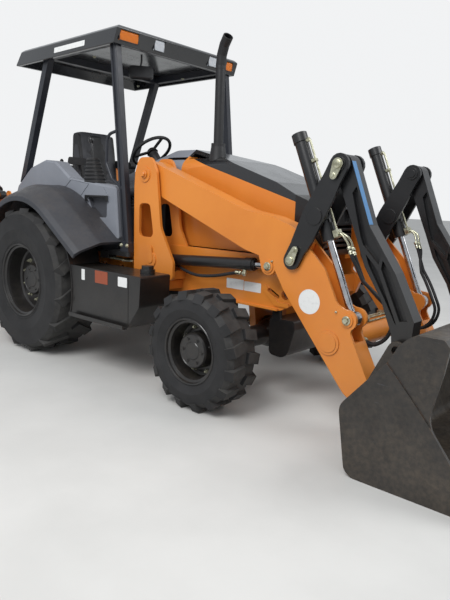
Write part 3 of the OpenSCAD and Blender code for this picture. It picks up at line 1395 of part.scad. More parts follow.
module hoe_bucket() {
  color(black) placed() {
    difference() {
      plate(hoe_bucket_points, 0, hoe_bucket_w);
      plate(inset(hoe_bucket_points, -22), 0, hoe_bucket_w - 2 * hoe_bucket_t);
      plate([for (p = [[368, 29], [440, 29], [75, 449], [28, 409]]) [dipper_tip.x + p.x, p.y]], 0,
          hoe_bucket_w - 2 * hoe_bucket_t);
    }
    // Teeth with their adapters, and cutters on the sides
    for (i = [-2:2]) {
      plate([for (p = [[300, 4], [300, 40], [404, 46], [404, 4]]) [dipper_tip.x + p.x, p.y]],
          i * (hoe_bucket_w / 4 - 20), 66);
      plate([for (p = [[403, 4], [403, 40], [540, 18], [540, 8]]) [dipper_tip.x + p.x, p.y]],
          i * (hoe_bucket_w / 4 - 20), 50);
    }
    for (s = [-1, 1]) {
      plate(rounded([for (p = [[392, 60, 20], [410, 110, 30], [150, 415, 40], [80, 395, 20]])
          [dipper_tip.x + p.x, p.y, p.z]]), s * (hoe_bucket_w / 2 + 4), 10);
      difference() {
        plate(concat(arc(dipper_tip, 60, -60, 90, 6), arc(bucket_ear, 58, 60, 200, 6),
            [[dipper_tip.x - 380, 515], [dipper_tip.x - 120, 475]]), s * (rocker_in + 10), 20);
        cross(bucket_ear, 26, -200, 200);
      }
    }
    cross(dipper_tip, hoe_pin_r, -rocker_in - 1, rocker_in + 1);
  }
}

// A plate whose outline is in Y and Z, centred on x
module plate_x(points, x, t) {
  translate([x - t / 2, 0, 0])
    rotate([90, 0, 90])
      linear_extrude(t)
        polygon(points);
}

module stabilizer() {
  function on(s, h) = beside(stab_pin, stab_foot, s, h);
  difference() {
    union() {
      for (s = [-1, 1]) {
        plate_x(capsule(stab_pin, stab_foot, 70, 50), stab_x - 40 + s * (stab_w / 2 - 10), 20);
        // Gussets down to the pad
        plate_x([on(stab_len - 70, -50), on(stab_len + 11, -130), on(stab_len + 11, 100), on(stab_len - 70, 46)],
            stab_x - 40 + s * (stab_w / 2 - 10), 20);
      }
      // Web plate along the outer half of the arm
      plate_x([on(800, -55), on(stab_len, -50), on(stab_len, 50), on(800, 55)], stab_x - 40, stab_w - 20);
      // Pad with its upturned ends and grousers
      plate_x([on(stab_len - 10, -158), on(stab_len + 18, -150), on(stab_len + 18, 112), on(stab_len - 10, 122),
          on(stab_len + 10, 140), on(stab_len + 40, 120), on(stab_len + 40, -158), on(stab_len + 10, -178)],
          stab_x - 40, 150);
      for (h = [-120, -20, 80])
        plate_x([on(stab_len + 39, h - 9), on(stab_len + 52, h - 5), on(stab_len + 52, h + 5),
            on(stab_len + 39, h + 9)], stab_x - 40, 150);
    }
    translate([stab_x - 200, stab_pin.x, stab_pin.y]) rotate([0, 90, 0]) cylinder(h = 400, r = 28 + pin_gap);
    translate([stab_x - 200, stab_cyl_pin.x, stab_cyl_pin.y]) rotate([0, 90, 0]) cylinder(h = 400, r = 24);
  }
}

// The same cylinder modules turned to lie across the machine
module across() {
  translate([stab_x - 40, 0, 0]) rotate([0, 0, 90]) children();
}

module stabilizer_left() {
  color(orange) placed() stabilizer();
}

module stabilizer_right() {
  color(orange) placed() mirror([0, 1, 0]) stabilizer();
}

module stab_barrel() {
  across() barrel(stab_cyl_base, stab_cyl_pin, 480, 42, 22, 45, 28, 70, 0);
}

module stab_rod() {
  across() rod(stab_cyl_base, stab_cyl_pin, 95, 22, 40, 24, 66, 0);
}

module stab_barrel_left() {
  color(black) placed() stab_barrel();
}

module stab_barrel_right() {
  color(black) placed() mirror([0, 1, 0]) stab_barrel();
}

module stab_rod_left() {
  color(steel) placed() stab_rod();
}

module stab_rod_right() {
  color(steel) placed() mirror([0, 1, 0]) stab_rod();
}

module rim_front_left() {
  rim_front(1);
}

module tyre_front_left() {
  tyre_front(1);
}

module rim_front_right() {
  rim_front(-1);
}

module tyre_front_right() {
  tyre_front(-1);
}

module rim_rear_left() {
  rim_rear(1);
}

module tyre_rear_left() {
  tyre_rear(1);
}

module rim_rear_right() {
  rim_rear(-1);
}

module tyre_rear_right() {
  tyre_rear(-1);
}

main_frame();
engine_block();
rear_axle();
front_axle();
hood();
hood_top();
nose();
exhaust();
canopy_roof();
canopy_posts();
cab_floor();
fender_flares();
side_consoles();
dash();
cowl();
seat();
side_tanks();
hoe_frame();
control_tower();
lamps();
amber_lamps();
knuckle_left();
knuckle_right();
steering_link();
rim_front_left();
rim_front_right();
rim_rear_left();
rim_rear_right();
tyre_front_left();
tyre_front_right();
tyre_rear_left();
tyre_rear_right();
loader_arms();
lift_barrels();
lift_rods();
tilt_levers();
tilt_barrels();
tilt_rods();
tilt_links();
loader_bucket();
swing_post();
boom();
boom_barrel();
boom_rod();
dipper_barrel();
dipper_rod();
dipper();
bucket_barrel();
bucket_rod();
rocker_links();
push_link();
hoe_bucket();
stabilizer_left();
stabilizer_right();
stab_barrel_left();
stab_barrel_right();
stab_rod_left();
stab_rod_right();
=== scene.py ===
"""Backhoe loader: camera, light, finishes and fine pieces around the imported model."""
import math
import random

import bmesh
import bpy
from mathutils import Matrix, Vector
from mathutils.geometry import intersect_line_line


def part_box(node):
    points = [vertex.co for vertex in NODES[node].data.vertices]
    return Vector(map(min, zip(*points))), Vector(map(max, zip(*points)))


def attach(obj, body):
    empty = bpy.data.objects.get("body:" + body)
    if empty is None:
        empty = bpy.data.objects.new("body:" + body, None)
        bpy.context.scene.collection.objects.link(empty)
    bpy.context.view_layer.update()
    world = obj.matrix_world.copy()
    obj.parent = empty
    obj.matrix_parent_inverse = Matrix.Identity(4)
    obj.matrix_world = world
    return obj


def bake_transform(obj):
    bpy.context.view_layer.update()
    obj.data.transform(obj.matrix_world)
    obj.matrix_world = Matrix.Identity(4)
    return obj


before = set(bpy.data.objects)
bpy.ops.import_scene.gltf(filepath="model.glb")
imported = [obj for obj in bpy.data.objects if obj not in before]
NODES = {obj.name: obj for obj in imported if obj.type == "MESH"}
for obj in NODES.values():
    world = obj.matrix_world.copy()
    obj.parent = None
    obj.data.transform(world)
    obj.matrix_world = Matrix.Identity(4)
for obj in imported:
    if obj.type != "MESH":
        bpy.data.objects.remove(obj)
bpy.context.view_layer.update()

# Lengths here count from the rear axle; the frame's own zero is the middle of the machine
REAR_LOW, REAR_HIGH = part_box("rim_rear_right")
SHIFT = (REAR_LOW.x + REAR_HIGH.x) / 2

# The direction of y on each side, and the word used in names
SIDES = ((-1, "right"), (1, "left"))


def at(x, y, z):
    """A point given from the rear axle, in the frame."""
    return Vector((x + SHIFT, y, z))


# Camera, light and floor

FLOOR_REACH = 60
LAMP_SIZE = 5.0


def add_camera():
    """The photograph's viewpoint, found from the wheels, roof, pins and bucket."""
    place = at(4.811, -3.71, 1.453)
    yaw, pitch, roll = -0.72, 0.175, 0.036
    focal_px, height_px, sensor_mm, far_m = 568.035, 600, 36, 200
    forward = Vector((math.cos(pitch) * math.sin(yaw), math.cos(pitch) * math.cos(yaw),
                      -math.sin(pitch)))
    level = Vector((math.cos(yaw), -math.sin(yaw), 0))
    upright = level.cross(forward)
    right = level * math.cos(roll) + upright * math.sin(roll)
    up = upright * math.cos(roll) - level * math.sin(roll)
    data = bpy.data.cameras.new("camera")
    data.sensor_fit = "VERTICAL"
    data.sensor_height = sensor_mm
    data.lens = focal_px * sensor_mm / height_px
    data.clip_end = far_m
    camera = bpy.data.objects.new("camera", data)
    turn = Matrix((right, up, -forward)).transposed().to_4x4()
    camera.matrix_world = Matrix.Translation(place) @ turn
    bpy.context.collection.objects.link(camera)
    bpy.context.scene.camera = camera


def add_light(name, place, aim, power):
    """A round soft lamp at a place, turned to its aim."""
    data = bpy.data.lights.new(name, "AREA")
    data.shape = "DISK"
    data.size = LAMP_SIZE
    data.energy = power
    lamp = bpy.data.objects.new(name, data)
    lamp.location = place
    lamp.rotation_euler = (aim - place).to_track_quat("-Z", "Y").to_euler()
    bpy.context.collection.objects.link(lamp)


def add_world():
    """Even light from all round, and a paler backdrop where the camera sees past the machine."""
    world = bpy.data.worlds.new("studio")
    bpy.context.scene.world = world
    world.use_nodes = True
    tree = world.node_tree
    tree.nodes.clear()
    out = tree.nodes.new("ShaderNodeOutputWorld")
    mix = tree.nodes.new("ShaderNodeMixShader")
    path = tree.nodes.new("ShaderNodeLightPath")
    seen = tree.nodes.new("ShaderNodeMath")
    seen.operation = "MAXIMUM"
    tree.links.new(path.outputs["Is Camera Ray"], seen.inputs[0])
    tree.links.new(path.outputs["Is Transmission Ray"], seen.inputs[1])
    tree.links.new(seen.outputs[0], mix.inputs[0])
    skies = (((0.92, 0.96, 1.0, 1), 0.60), ((0.93, 0.94, 0.95, 1), 0.95))
    for slot, (colour, strength) in enumerate(skies, 1):
        sky = tree.nodes.new("ShaderNodeBackground")
        sky.inputs["Color"].default_value = colour
        sky.inputs["Strength"].default_value = strength
        tree.links.new(sky.outputs[0], mix.inputs[slot])
    tree.links.new(mix.outputs[0], out.inputs[0])


# Procedural finishes

BEVEL_SAMPLES = 4
EDGE_ROUND = 0.004


def srgb(red, green, blue):
    """A colour written 0 to 255, as linear values."""
    def linear(value):
        value /= 255
        return value / 12.92 if value <= 0.04045 else ((value + 0.055) / 1.055) ** 2.4
    return (linear(red), linear(green), linear(blue), 1)


def scaled(colour, share):
    """The same colour, darker or lighter."""
    return tuple(min(1, share * value) for value in colour[:3]) + (1,)


class Finish:
    """Builds one material from a few kinds of node, all placed by the object's own coordinates."""

    def __init__(self, name):
        self.material = bpy.data.materials.new(name)
        self.material.use_nodes = True
        self.tree = self.material.node_tree
        self.tree.nodes.clear()
        out = self.new("ShaderNodeOutputMaterial")
        self.shader = self.new("ShaderNodeBsdfPrincipled")
        self.link(self.shader.outputs[0], out.inputs[0])
        self.place = self.new("ShaderNodeTexCoord").outputs["Object"]
        self.heights = []

    def new(self, kind):
        return self.tree.nodes.new(kind)

    def link(self, source, target):
        self.tree.links.new(source, target)

    def feed(self, socket, value):
        """Gives a socket a number, a colour or another node's output."""
        if isinstance(value, (int, float, tuple)):
            socket.default_value = value
        else:
            self.link(value, socket)

    def math(self, kind, a, b=0.0):
        node = self.new("ShaderNodeMath")
        node.operation = kind
        self.feed(node.inputs[0], a)
        self.feed(node.inputs[1], b)
        return node.outputs[0]

    def times(self, a, b):
        return self.math("MULTIPLY", a, b)

    def noise(self, scale, detail=4, rough=0.55, stretch=None):
        """Cloudy noise, finer along the axes that stretch counts up."""
        node = self.new("ShaderNodeTexNoise")
        node.inputs["Scale"].default_value = scale
        node.inputs["Detail"].default_value = detail
        node.inputs["Roughness"].default_value = rough
        where = self.place
        if stretch:
            mapping = self.new("ShaderNodeMapping")
            mapping.inputs["Scale"].default_value = stretch
            self.link(self.place, mapping.inputs["Vector"])
            where = mapping.outputs[0]
        self.link(where, node.inputs["Vector"])
        return node.outputs["Fac"]

    def cells(self, scale):
        """Distance to the nearest of many scattered points."""
        node = self.new("ShaderNodeTexVoronoi")
        node.inputs["Scale"].default_value = scale
        self.link(self.place, node.inputs["Vector"])
        return node.outputs["Distance"]

    def step(self, value, low, high, start=0.0, end=1.0):
        """value remapped smoothly from low..high to start..end."""
        node = self.new("ShaderNodeMapRange")
        node.interpolation_type = "SMOOTHSTEP"
        self.feed(node.inputs["Value"], value)
        ends = {"From Min": low, "From Max": high, "To Min": start, "To Max": end}
        for socket, number in ends.items():
            node.inputs[socket].default_value = number
        return node.outputs["Result"]

    def mix(self, share, a, b):
        """Colour a, turning to colour b as the share goes from 0 to 1."""
        node = self.new("ShaderNodeMix")
        node.data_type = "RGBA"
        self.feed(node.inputs["Factor"], share)
        self.feed(node.inputs[6], a)
        self.feed(node.inputs[7], b)
        return node.outputs[2]

    def axis(self, name, source=None):
        """X, Y or Z of the object's coordinates, or of another vector."""
        node = self.new("ShaderNodeSeparateXYZ")
        self.link(source or self.place, node.inputs[0])
        return node.outputs[name]

    def facing(self, name):
        """X, Y or Z of the surface's direction."""
        coords = self.new("ShaderNodeTexCoord")
        return self.axis(name, coords.outputs["Normal"])

    def rounded(self, radius):
        """The surface's direction, with sharp edges rounded."""
        bevel = self.new("ShaderNodeBevel")
        bevel.samples = BEVEL_SAMPLES
        bevel.inputs["Radius"].default_value = radius
        return bevel.outputs[0]

    def edges(self, radius):
        """About 1 on sharp edges and 0 on flat faces."""
        plain = self.new("ShaderNodeNewGeometry")
        dot = self.new("ShaderNodeVectorMath")
        dot.operation = "DOT_PRODUCT"
        self.link(self.rounded(radius), dot.inputs[0])
        self.link(plain.outputs["Normal"], dot.inputs[1])
        return self.step(dot.outputs["Value"], 0.98, 0.86)

    def within(self, low, high):
        """1 inside a box of the object's coordinates, with y counted outwards on both sides."""
        share = 1.0
        place = (self.axis("X"), self.math("ABSOLUTE", self.axis("Y")), self.axis("Z"))
        for value, start, end in zip(place, low, high):
            above = self.math("GREATER_THAN", value, start)
            below = self.math("LESS_THAN", value, end)
            share = self.times(self.times(above, below), share)
        return share

    def film(self, amount):
        """Dust: a thin even veil low down and on the faces that look up, broken by fine grain."""
        low = self.step(self.axis("Z"), 1.5, 0.1, 0.1, 0.7)
        up = self.step(self.facing("Z"), 0.35, 0.95)
        grain = self.step(self.noise(38, 6, 0.6), 0.25, 0.8, 0.35, 1.0)
        slow = self.step(self.noise(3.5, 6, 0.6), 0.3, 0.75, 0.45, 1.0)
        veil = self.times(self.math("MAXIMUM", low, up), grain)
        return self.times(self.times(veil, slow), amount)

    def bump(self, height, distance, strength):
        self.heights.append((height, distance, strength))

    def done(self, colour, roughness, metallic=0.0, coat=0.0, coat_rough=0.1, specular=0.5,
             rounding=0.0):
        """Wires the shader up; the bumps are chained, over edges rounded by the given radius."""
        normal = self.rounded(rounding) if rounding else None
        for height, distance, strength in self.heights:
            node = self.new("ShaderNodeBump")
            node.inputs["Strength"].default_value = strength
            node.inputs["Distance"].default_value = distance
            self.link(height, node.inputs["Height"])
            if normal is not None:
                self.link(normal, node.inputs["Normal"])
            normal = node.outputs[0]
        if normal is not None:
            self.link(normal, self.shader.inputs["Normal"])
        values = {"Base Color": colour, "Roughness": roughness, "Metallic": metallic,
                  "Coat Weight": coat, "Coat Roughness": coat_rough,
                  "Specular IOR Level": specular}
        for socket, value in values.items():
            self.feed(self.shader.inputs[socket], value)
        return self.material


DUST = srgb(150, 132, 110)


def paint(name, colour, shade, under, dust, wear, rough=0.38, coat=0.25):
    """Gloss or satin paint: slow colour drift, low dust, chipped edges, faint orange peel."""
    f = Finish(name)
    body = f.mix(f.step(f.noise(1.7, 5), 0.3, 0.75), colour, shade)
    spots = f.step(f.noise(24, 6, 0.7), 0.56 - 0.1 * wear, 0.66)
    chips = f.times(f.edges(0.006), spots)
    body = f.mix(f.times(chips, wear), body, under)
    film = f.film(dust)
    body = f.mix(film, body, DUST)
    gloss = f.step(f.noise(6, 5), 0.3, 0.7, rough - 0.05, rough + 0.1)
    f.bump(f.noise(260, 2), 0.0006, 0.25)
    return f.done(body, f.math("ADD", gloss, f.times(film, 0.5)), coat=coat, coat_rough=0.12,
                  rounding=EDGE_ROUND)


def scratched(name, colour, steel, rust):
    """Worn black paint on earth-moving steel: long scratches, rust along edges, dust."""
    f = Finish(name)
    body = f.mix(f.step(f.noise(2.2, 6), 0.3, 0.75), colour, scaled(colour, 2.1))
    lines = f.step(f.noise(14, 8, 0.72, (0.5, 5.0, 3.5)), 0.62, 0.72)
    marks = f.step(f.noise(5, 8, 0.7, (6.0, 1.0, 0.8)), 0.66, 0.78)
    scrape = f.math("MAXIMUM", lines, marks)
    body = f.mix(f.times(scrape, 0.3), body, steel)
    edge = f.times(f.edges(0.008), f.step(f.noise(30, 6), 0.45, 0.6))
    body = f.mix(f.times(edge, 0.6), body, rust)
    body = f.mix(f.film(0.35), body, DUST)
    f.bump(scrape, 0.0006, 0.4)
    f.bump(f.noise(160, 3), 0.0005, 0.3)
    return f.done(body, f.step(f.noise(9, 6), 0.3, 0.7, 0.34, 0.62), coat=0.1,
                  rounding=EDGE_ROUND)


def plastic(name, colour, rough, dust, grain=0.4, areas=()):
    """Moulded plastic with a fine leather-like grain; areas are boxes of another colour."""
    f = Finish(name)
    body = f.mix(f.step(f.noise(2.4, 5), 0.3, 0.75), colour, scaled(colour, 0.8))
    for low, high, other in areas:
        body = f.mix(f.within(low, high), body, other)
    body = f.mix(f.film(dust), body, DUST)
    f.bump(f.cells(420), 0.0008, grain)
    return f.done(body, f.step(f.noise(12, 5), 0.3, 0.7, rough - 0.06, rough + 0.1),
                  rounding=0.005)


def rubber(name, dust):
    """Dark rubber, with grey earth rubbed into the faces that don't look sideways: the tread."""
    f = Finish(name)
    body = f.mix(f.step(f.noise(5, 6), 0.3, 0.75), srgb(26, 26, 28), srgb(38, 38, 40))
    tread = f.step(f.math("ABSOLUTE", f.facing("Y")), 0.9, 0.45, 0.18, 1.0)
    dirt = f.times(f.step(f.noise(11, 9, 0.68), 0.3, 0.8, 0.3, 1.0), dust)
    dirt = f.times(dirt, tread)
    body = f.mix(f.times(dirt, 0.5), body, srgb(112, 110, 106))
    f.bump(f.noise(90, 5), 0.0012, 0.4)
    return f.done(body, f.step(dirt, 0, 1, 0.62, 0.92), specular=0.35, rounding=EDGE_ROUND)


def chrome(name):
    """Polished rods and mirror glass, with faint streaks along z."""
    f = Finish(name)
    body = f.mix(f.step(f.noise(20, 4), 0.35, 0.8), srgb(208, 209, 212), srgb(170, 171, 175))
    gloss = f.step(f.noise(60, 3, 0.5, (1, 1, 6)), 0.3, 0.7, 0.1, 0.22)
    return f.done(body, gloss, metallic=1.0)


def plated(name, colour, shade, rough=0.32):
    """Zinc or bare steel: blotchy, semi-gloss metal."""
    f = Finish(name)
    body = f.mix(f.step(f.noise(34, 6), 0.35, 0.7), colour, shade)
    f.bump(f.noise(240, 3), 0.0004, 0.3)
    return f.done(body, f.step(f.noise(50, 4), 0.3, 0.7, rough - 0.06, rough + 0.14),
                  metallic=0.9, rounding=0.002)


def vinyl(name, colour):
    """Grained seat cover with slow creases."""
    f = Finish(name)
    body = f.mix(f.step(f.noise(3, 5), 0.3, 0.7), colour, scaled(colour, 0.7))
    f.bump(f.cells(300), 0.0012, 0.5)
    f.bump(f.noise(14, 4), 0.004, 0.25)
    return f.done(body, f.step(f.noise(12, 4), 0.3, 0.7, 0.45, 0.62), rounding=0.012)


def lens(name, colour, rib_reflection):
    """A ribbed lamp lens in its own tint, with a painted reflection of a bright reflector behind
    it: its ribs band between two colours.
    """
    f = Finish(name)
    ribs = f.new("ShaderNodeTexWave")
    ribs.bands_direction = "Y"
    ribs.inputs["Scale"].default_value = 26
    f.link(f.place, ribs.inputs["Vector"])
    # Painted reflection: the second colour, banded by the ribs, stands in for the reflector seen
    # through the lens
    body = f.mix(ribs.outputs["Fac"], colour, rib_reflection)
    f.bump(ribs.outputs["Fac"], 0.002, 0.6)
    return f.done(body, 0.12, coat=0.6, coat_rough=0.04)


def decal(name, colour):
    """A blank film sticker: even, slightly scuffed."""
    f = Finish(name)
    body = f.mix(f.step(f.noise(40, 6), 0.5, 0.8), colour, scaled(colour, 0.82))
    return f.done(body, f.step(f.noise(30, 4), 0.3, 0.7, 0.28, 0.42))


ORANGE = paint("orange_paint", srgb(226, 138, 50), srgb(216, 126, 42), srgb(92, 74, 60),
               dust=0.2, wear=0.35)
BLACK = paint("black_paint", srgb(20, 21, 24), srgb(15, 16, 19), srgb(80, 72, 66),
              dust=0.12, wear=0.4, rough=0.36)
RIM = paint("rim_paint", srgb(20, 22, 26), srgb(15, 17, 20), srgb(92, 88, 84),
            dust=0.14, wear=0.3, rough=0.34)
BUCKET = scratched("bucket_steel", srgb(17, 18, 20), srgb(120, 126, 136), srgb(96, 68, 48))
POST = plastic("post_plastic", srgb(40, 43, 51), rough=0.36, dust=0.1, grain=0.25)
DARK = plastic("dark_plastic", srgb(26, 27, 30), rough=0.46, dust=0.12)
FLARE = plastic("flare_plastic", srgb(54, 57, 64), rough=0.44, dust=0.18)
PALE_GREY = srgb(136, 140, 149)
PALE = plastic("pale_plastic", PALE_GREY, rough=0.46, dust=0.12, grain=0.3)
# The boxes are the black face of the brow over the consoles' hand-hold, and painted shade: a
# darker grey inside the pocket under it
CONSOLE = plastic("console_plastic", PALE_GREY, rough=0.46, dust=0.12, grain=0.3, areas=(
    ((SHIFT + 0.46, 0.6965, 1.396), (SHIFT + 0.81, 0.72, 1.451), srgb(20, 21, 24)),
    # The second box is painted shade of the recessed pocket, not a grey part
    ((SHIFT + 0.50, 0.60, 1.26), (SHIFT + 0.78, 0.684, 1.433), srgb(74, 76, 82))))
ROOF = paint("charcoal_paint", srgb(30, 32, 36), srgb(24, 26, 29), srgb(90, 86, 82),
             dust=0.08, wear=0.2, rough=0.2, coat=0.8)
TYRE = rubber("tyre_rubber", 0.85)
HOSE = rubber("hose_rubber", 0.25)
CHROME = chrome("chrome")
ZINC = plated("zinc", srgb(206, 205, 182), srgb(164, 162, 138))
STEEL = plated("steel", srgb(150, 150, 150), srgb(112, 108, 104), 0.4)
VINYL = vinyl("seat_vinyl", srgb(66, 67, 72))
# Each lens's first colour is its tint; the second is painted reflection, banded by the ribs
CLEAR = lens("clear_lens", srgb(226, 230, 234), srgb(176, 182, 190))
AMBER = lens("amber_lens", srgb(238, 138, 30), srgb(206, 96, 14))
WHITE = decal("white_film", srgb(232, 233, 232))
RED = decal("red_film", srgb(150, 72, 44))
BLUE = decal("blue_film", srgb(74, 128, 178))

FINISHES = {
    "main_frame": ORANGE, "hood": ORANGE, "loader_arms": ORANGE, "hoe_frame": ORANGE,
    "swing_post": ORANGE, "boom": ORANGE, "dipper": ORANGE,
    "stabilizer_left": ORANGE, "stabilizer_right": ORANGE,
    "loader_bucket": BUCKET, "hoe_bucket": BUCKET,
    "canopy_roof": ROOF, "canopy_posts": POST, "dash": DARK, "control_tower": DARK,
    "fender_flares": FLARE, "side_consoles": CONSOLE, "cowl": PALE, "hood_top": ROOF,
    "seat": DARK, "lamps": CLEAR, "amber_lamps": AMBER,
    "steering_link": ZINC, "exhaust": DARK,
}


def finish_nodes():
    """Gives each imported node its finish; those not named are black paint."""
    for name, node in NODES.items():
        kind = FINISHES.get(name, BLACK)
        if name.startswith("tyre"):
            kind = TYRE
        elif name.startswith("rim"):
            kind = RIM
        elif "_rod" in name:
            kind = CHROME
        node.data.materials.clear()
        node.data.materials.append(kind)


def add_floor():
    """A wide pale floor under the wheels, for the picture only."""
    corners = [(x * FLOOR_REACH, y * FLOOR_REACH, 0)
               for x, y in ((-1, -1), (1, -1), (1, 1), (-1, 1))]
    mesh = bpy.data.meshes.new("floor")
    mesh.from_pydata(corners, [], [(0, 1, 2, 3)])
    floor = bpy.data.objects.new("floor", mesh)
    bpy.context.collection.objects.link(floor)
    f = Finish("floor")
    pale = f.mix(f.step(f.noise(1.2, 6), 0.3, 0.7), srgb(214, 213, 210), srgb(206, 205, 202))
    mesh.materials.append(f.done(pale, 0.9))


bpy.context.scene.view_settings.view_transform = "Standard"
add_camera()
add_world()
add_light("key", at(3.0, -6.5, 7.5), at(0.8, 0, 0.8), 520)
add_light("fill", at(7.5, 3.0, 6.0), at(1.0, 0, 1.0), 240)
add_floor()
finish_nodes()


# Forms for the fine pieces

SMOOTH_STEPS = 6
BEND_STEPS = 8
HOSE_SIDES = 12
SHARP_ANGLE = math.radians(38)


def basis(axis):
    """Two directions square to an axis and to each other."""
    axis = Vector(axis).normalized()
    spare = Vector((0, 0, 1)) if abs(axis.z) < 0.9 else Vector((1, 0, 0))
    side = axis.cross(spare).normalized()
    return side, axis.cross(side)


def around(count, turn=0.0):
    """Angles evenly round a circle."""
    return [turn + 2 * math.pi * k / count for k in range(count)]


def in_wheel(a, radius=1):
    """A step at an angle in the plane of the wheels, from the middle."""
    return Vector((math.cos(a) * radius, 0, math.sin(a) * radius))


def smooth(points):
    """A smooth run of points through the given ones."""
    points = [Vector(p) for p in points]
    ends = [2 * points[0] - points[1]] + points + [2 * points[-1] - points[-2]]
    run = []
    for a, b, c, d in zip(ends, ends[1:], ends[2:], ends[3:]):
        for k in range(SMOOTH_STEPS):
            t = k / SMOOTH_STEPS
            run.append(0.5 * (2 * b + (c - a) * t + (2 * a - 5 * b + 4 * c - d) * t ** 2
                              + (3 * b - a - 3 * c + d) * t ** 3))
    return run + [points[-1]]


class Form:
    """Gathers the faces of one piece, placed in the frame."""

    def __init__(self):
        self.bm = bmesh.new()

    def skin(self, rings, capped=True):
        """Faces between rings of points that follow each other."""
        rows = [[self.bm.verts.new(point) for point in ring] for ring in rings]
        count = len(rows[0])
        for low, high in zip(rows, rows[1:]):
            for i in range(count):
                j = (i + 1) % count
                self.bm.faces.new((low[i], low[j], high[j], high[i]))
        if capped:
            self.bm.faces.new(rows[0][::-1])
            self.bm.faces.new(rows[-1])

    def turned(self, place, axis, rows, sides=20, turn=0.0):
        """A turned shape along an axis, from rows of (distance, radius)."""
        axis = Vector(axis).normalized()
        side, up = basis(axis)
        self.skin([[place + axis * s + (side * math.cos(a) + up * math.sin(a)) * r
                    for a in around(sides, turn)] for s, r in rows])

    def slab(self, place, axis, across, outline, depth, soft=0.0):
        """A flat shape with a softened front edge; across is the way of its outline's x."""
        axis, across = Vector(axis).normalized(), Vector(across).normalized()
        up = axis.cross(across)
        centre = Vector([sum(values) / len(outline) for values in zip(*outline)])
        levels = ((0, 0), (depth - soft, 0), (depth, soft)) if soft else ((0, 0), (depth, 0))
        rings = []
        for height, inset in levels:
            ring = []
            for p in outline:
                q = Vector(p)
                q -= (q - centre).normalized() * inset
                ring.append(place + across * q.x + up * q.y + axis * height)
            rings.append(ring)
        self.skin(rings)

    def tube(self, path, radius, sides=10):
        """A round bar along a path."""
        path = [Vector(p) for p in path]
        side, _ = basis((path[1] - path[0]).normalized())
        rings = []
        for i, point in enumerate(path):
            way = (path[min(i + 1, len(path) - 1)] - path[max(i - 1, 0)]).normalized()
            side = (side - way * side.dot(way)).normalized()
            up = way.cross(side)
            rings.append([point + (side * math.cos(a) + up * math.sin(a)) * radius
                          for a in around(sides)])
        self.skin(rings)

    def bolt(self, place, axis, across, height=None, turn=0.0):
        """A hexagon head on its washer."""
        axis = Vector(axis).normalized()
        height = height or across * 0.62
        corner, washer = across / math.sqrt(3), across * 0.82
        self.turned(place, axis, [(0, washer), (across * 0.13, washer),
                                  (across * 0.16, across * 0.78)], 16)
        self.turned(place, axis, [(across * 0.1, corner), (height * 0.86, corner),
                                  (height, corner * 0.84)], 6, turn)

    def ring(self, place, axis, radius, thick, wobble=0.0, rng=None):
        """A bead or lip round a circle, of uneven thickness if it has random draws."""
        side, up = basis(axis)
        axis = Vector(axis).normalized()
        rows = []
        for a in around(64):
            out = side * math.cos(a) + up * math.sin(a)
            r = thick * (1 + (rng.uniform(-wobble, wobble) if rng else 0))
            rows.append([place + out * (radius + r * math.cos(b)) + axis * r * math.sin(b)
                         for b in around(8)])
        self.skin(rows + [rows[0]], False)
        bmesh.ops.remove_doubles(self.bm, verts=self.bm.verts, dist=1e-6)

    def piece(self, name, finish, body=None):
        """Makes the object, riding on a body if one is named."""
        bmesh.ops.recalc_face_normals(self.bm, faces=self.bm.faces)
        mesh = bpy.data.meshes.new(name)
        self.bm.to_mesh(mesh)
        self.bm.free()
        mesh.materials.append(finish)
        mesh.shade_smooth()
        mesh.set_sharp_from_angle(angle=SHARP_ANGLE)
        made = bpy.data.objects.new(name, mesh)
        bpy.context.collection.objects.link(made)
        if body:
            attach(made, body)
        return made


def oblong(width, height, corner, steps=4):
    """Outline of a rectangle with round corners, about its middle."""
    rows = []
    for k, (sx, sy) in enumerate(((1, 1), (-1, 1), (-1, -1), (1, -1))):
        for m in range(steps + 1):
            a = math.pi / 2 * (k + m / steps)
            rows.append((sx * (width / 2 - corner) + corner * math.cos(a),
                         sy * (height / 2 - corner) + corner * math.sin(a)))
    return rows


def disc(radius, steps=40):
    """Outline of a circle."""
    return [(radius * math.cos(a), radius * math.sin(a)) for a in around(steps)]


def hose(name, points, diameter, body, other=None):
    """A hose that ends in the machine, across one joint if a second body is named."""
    path = smooth(points)
    form = Form()
    form.tube(path, diameter / 2, HOSE_SIDES)
    made = form.piece(name, HOSE, None if other else body)
    if other:
        tuple(path[0])
        tuple(path[-1])
        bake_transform(made)
    length = sum((b - a).length for a, b in zip(path, path[1:]))
    tuple(path[0])
    [tuple(p) for p in path]


def bent(before, corner, after, radius):
    """Two straight runs with an arc of the given radius in place of the corner between them."""
    a, b = (before - corner).normalized(), (after - corner).normalized()
    half = a.angle(b) / 2
    middle = corner + (a + b).normalized() * (radius / math.sin(half))
    start, end = (corner + way * (radius / math.tan(half)) - middle for way in (a, b))
    arc = [middle + start.normalized().slerp(end.normalized(), k / BEND_STEPS) * radius
           for k in range(BEND_STEPS + 1)]
    return [before] + arc + [after]


def ferrule(form, place, way, diameter):
    """Crimped end of a hose with its swivel nut, pointing along the way the hose leaves."""
    way = Vector(way).normalized()
    r = diameter / 2
    form.turned(place, way, [(0.034, r + 0.001), (0.032, r + 0.003), (0.024, r + 0.0015),
                             (0.022, r + 0.0035), (0.012, r + 0.002), (0.0, r * 0.7)], 16)
    form.turned(place, way, [(-0.018, r + 0.003), (-0.016, r + 0.004), (0.0, r + 0.004),
                             (0.002, r + 0.003)], 6)


# Places that several pieces share, as (x, z) from the rear axle

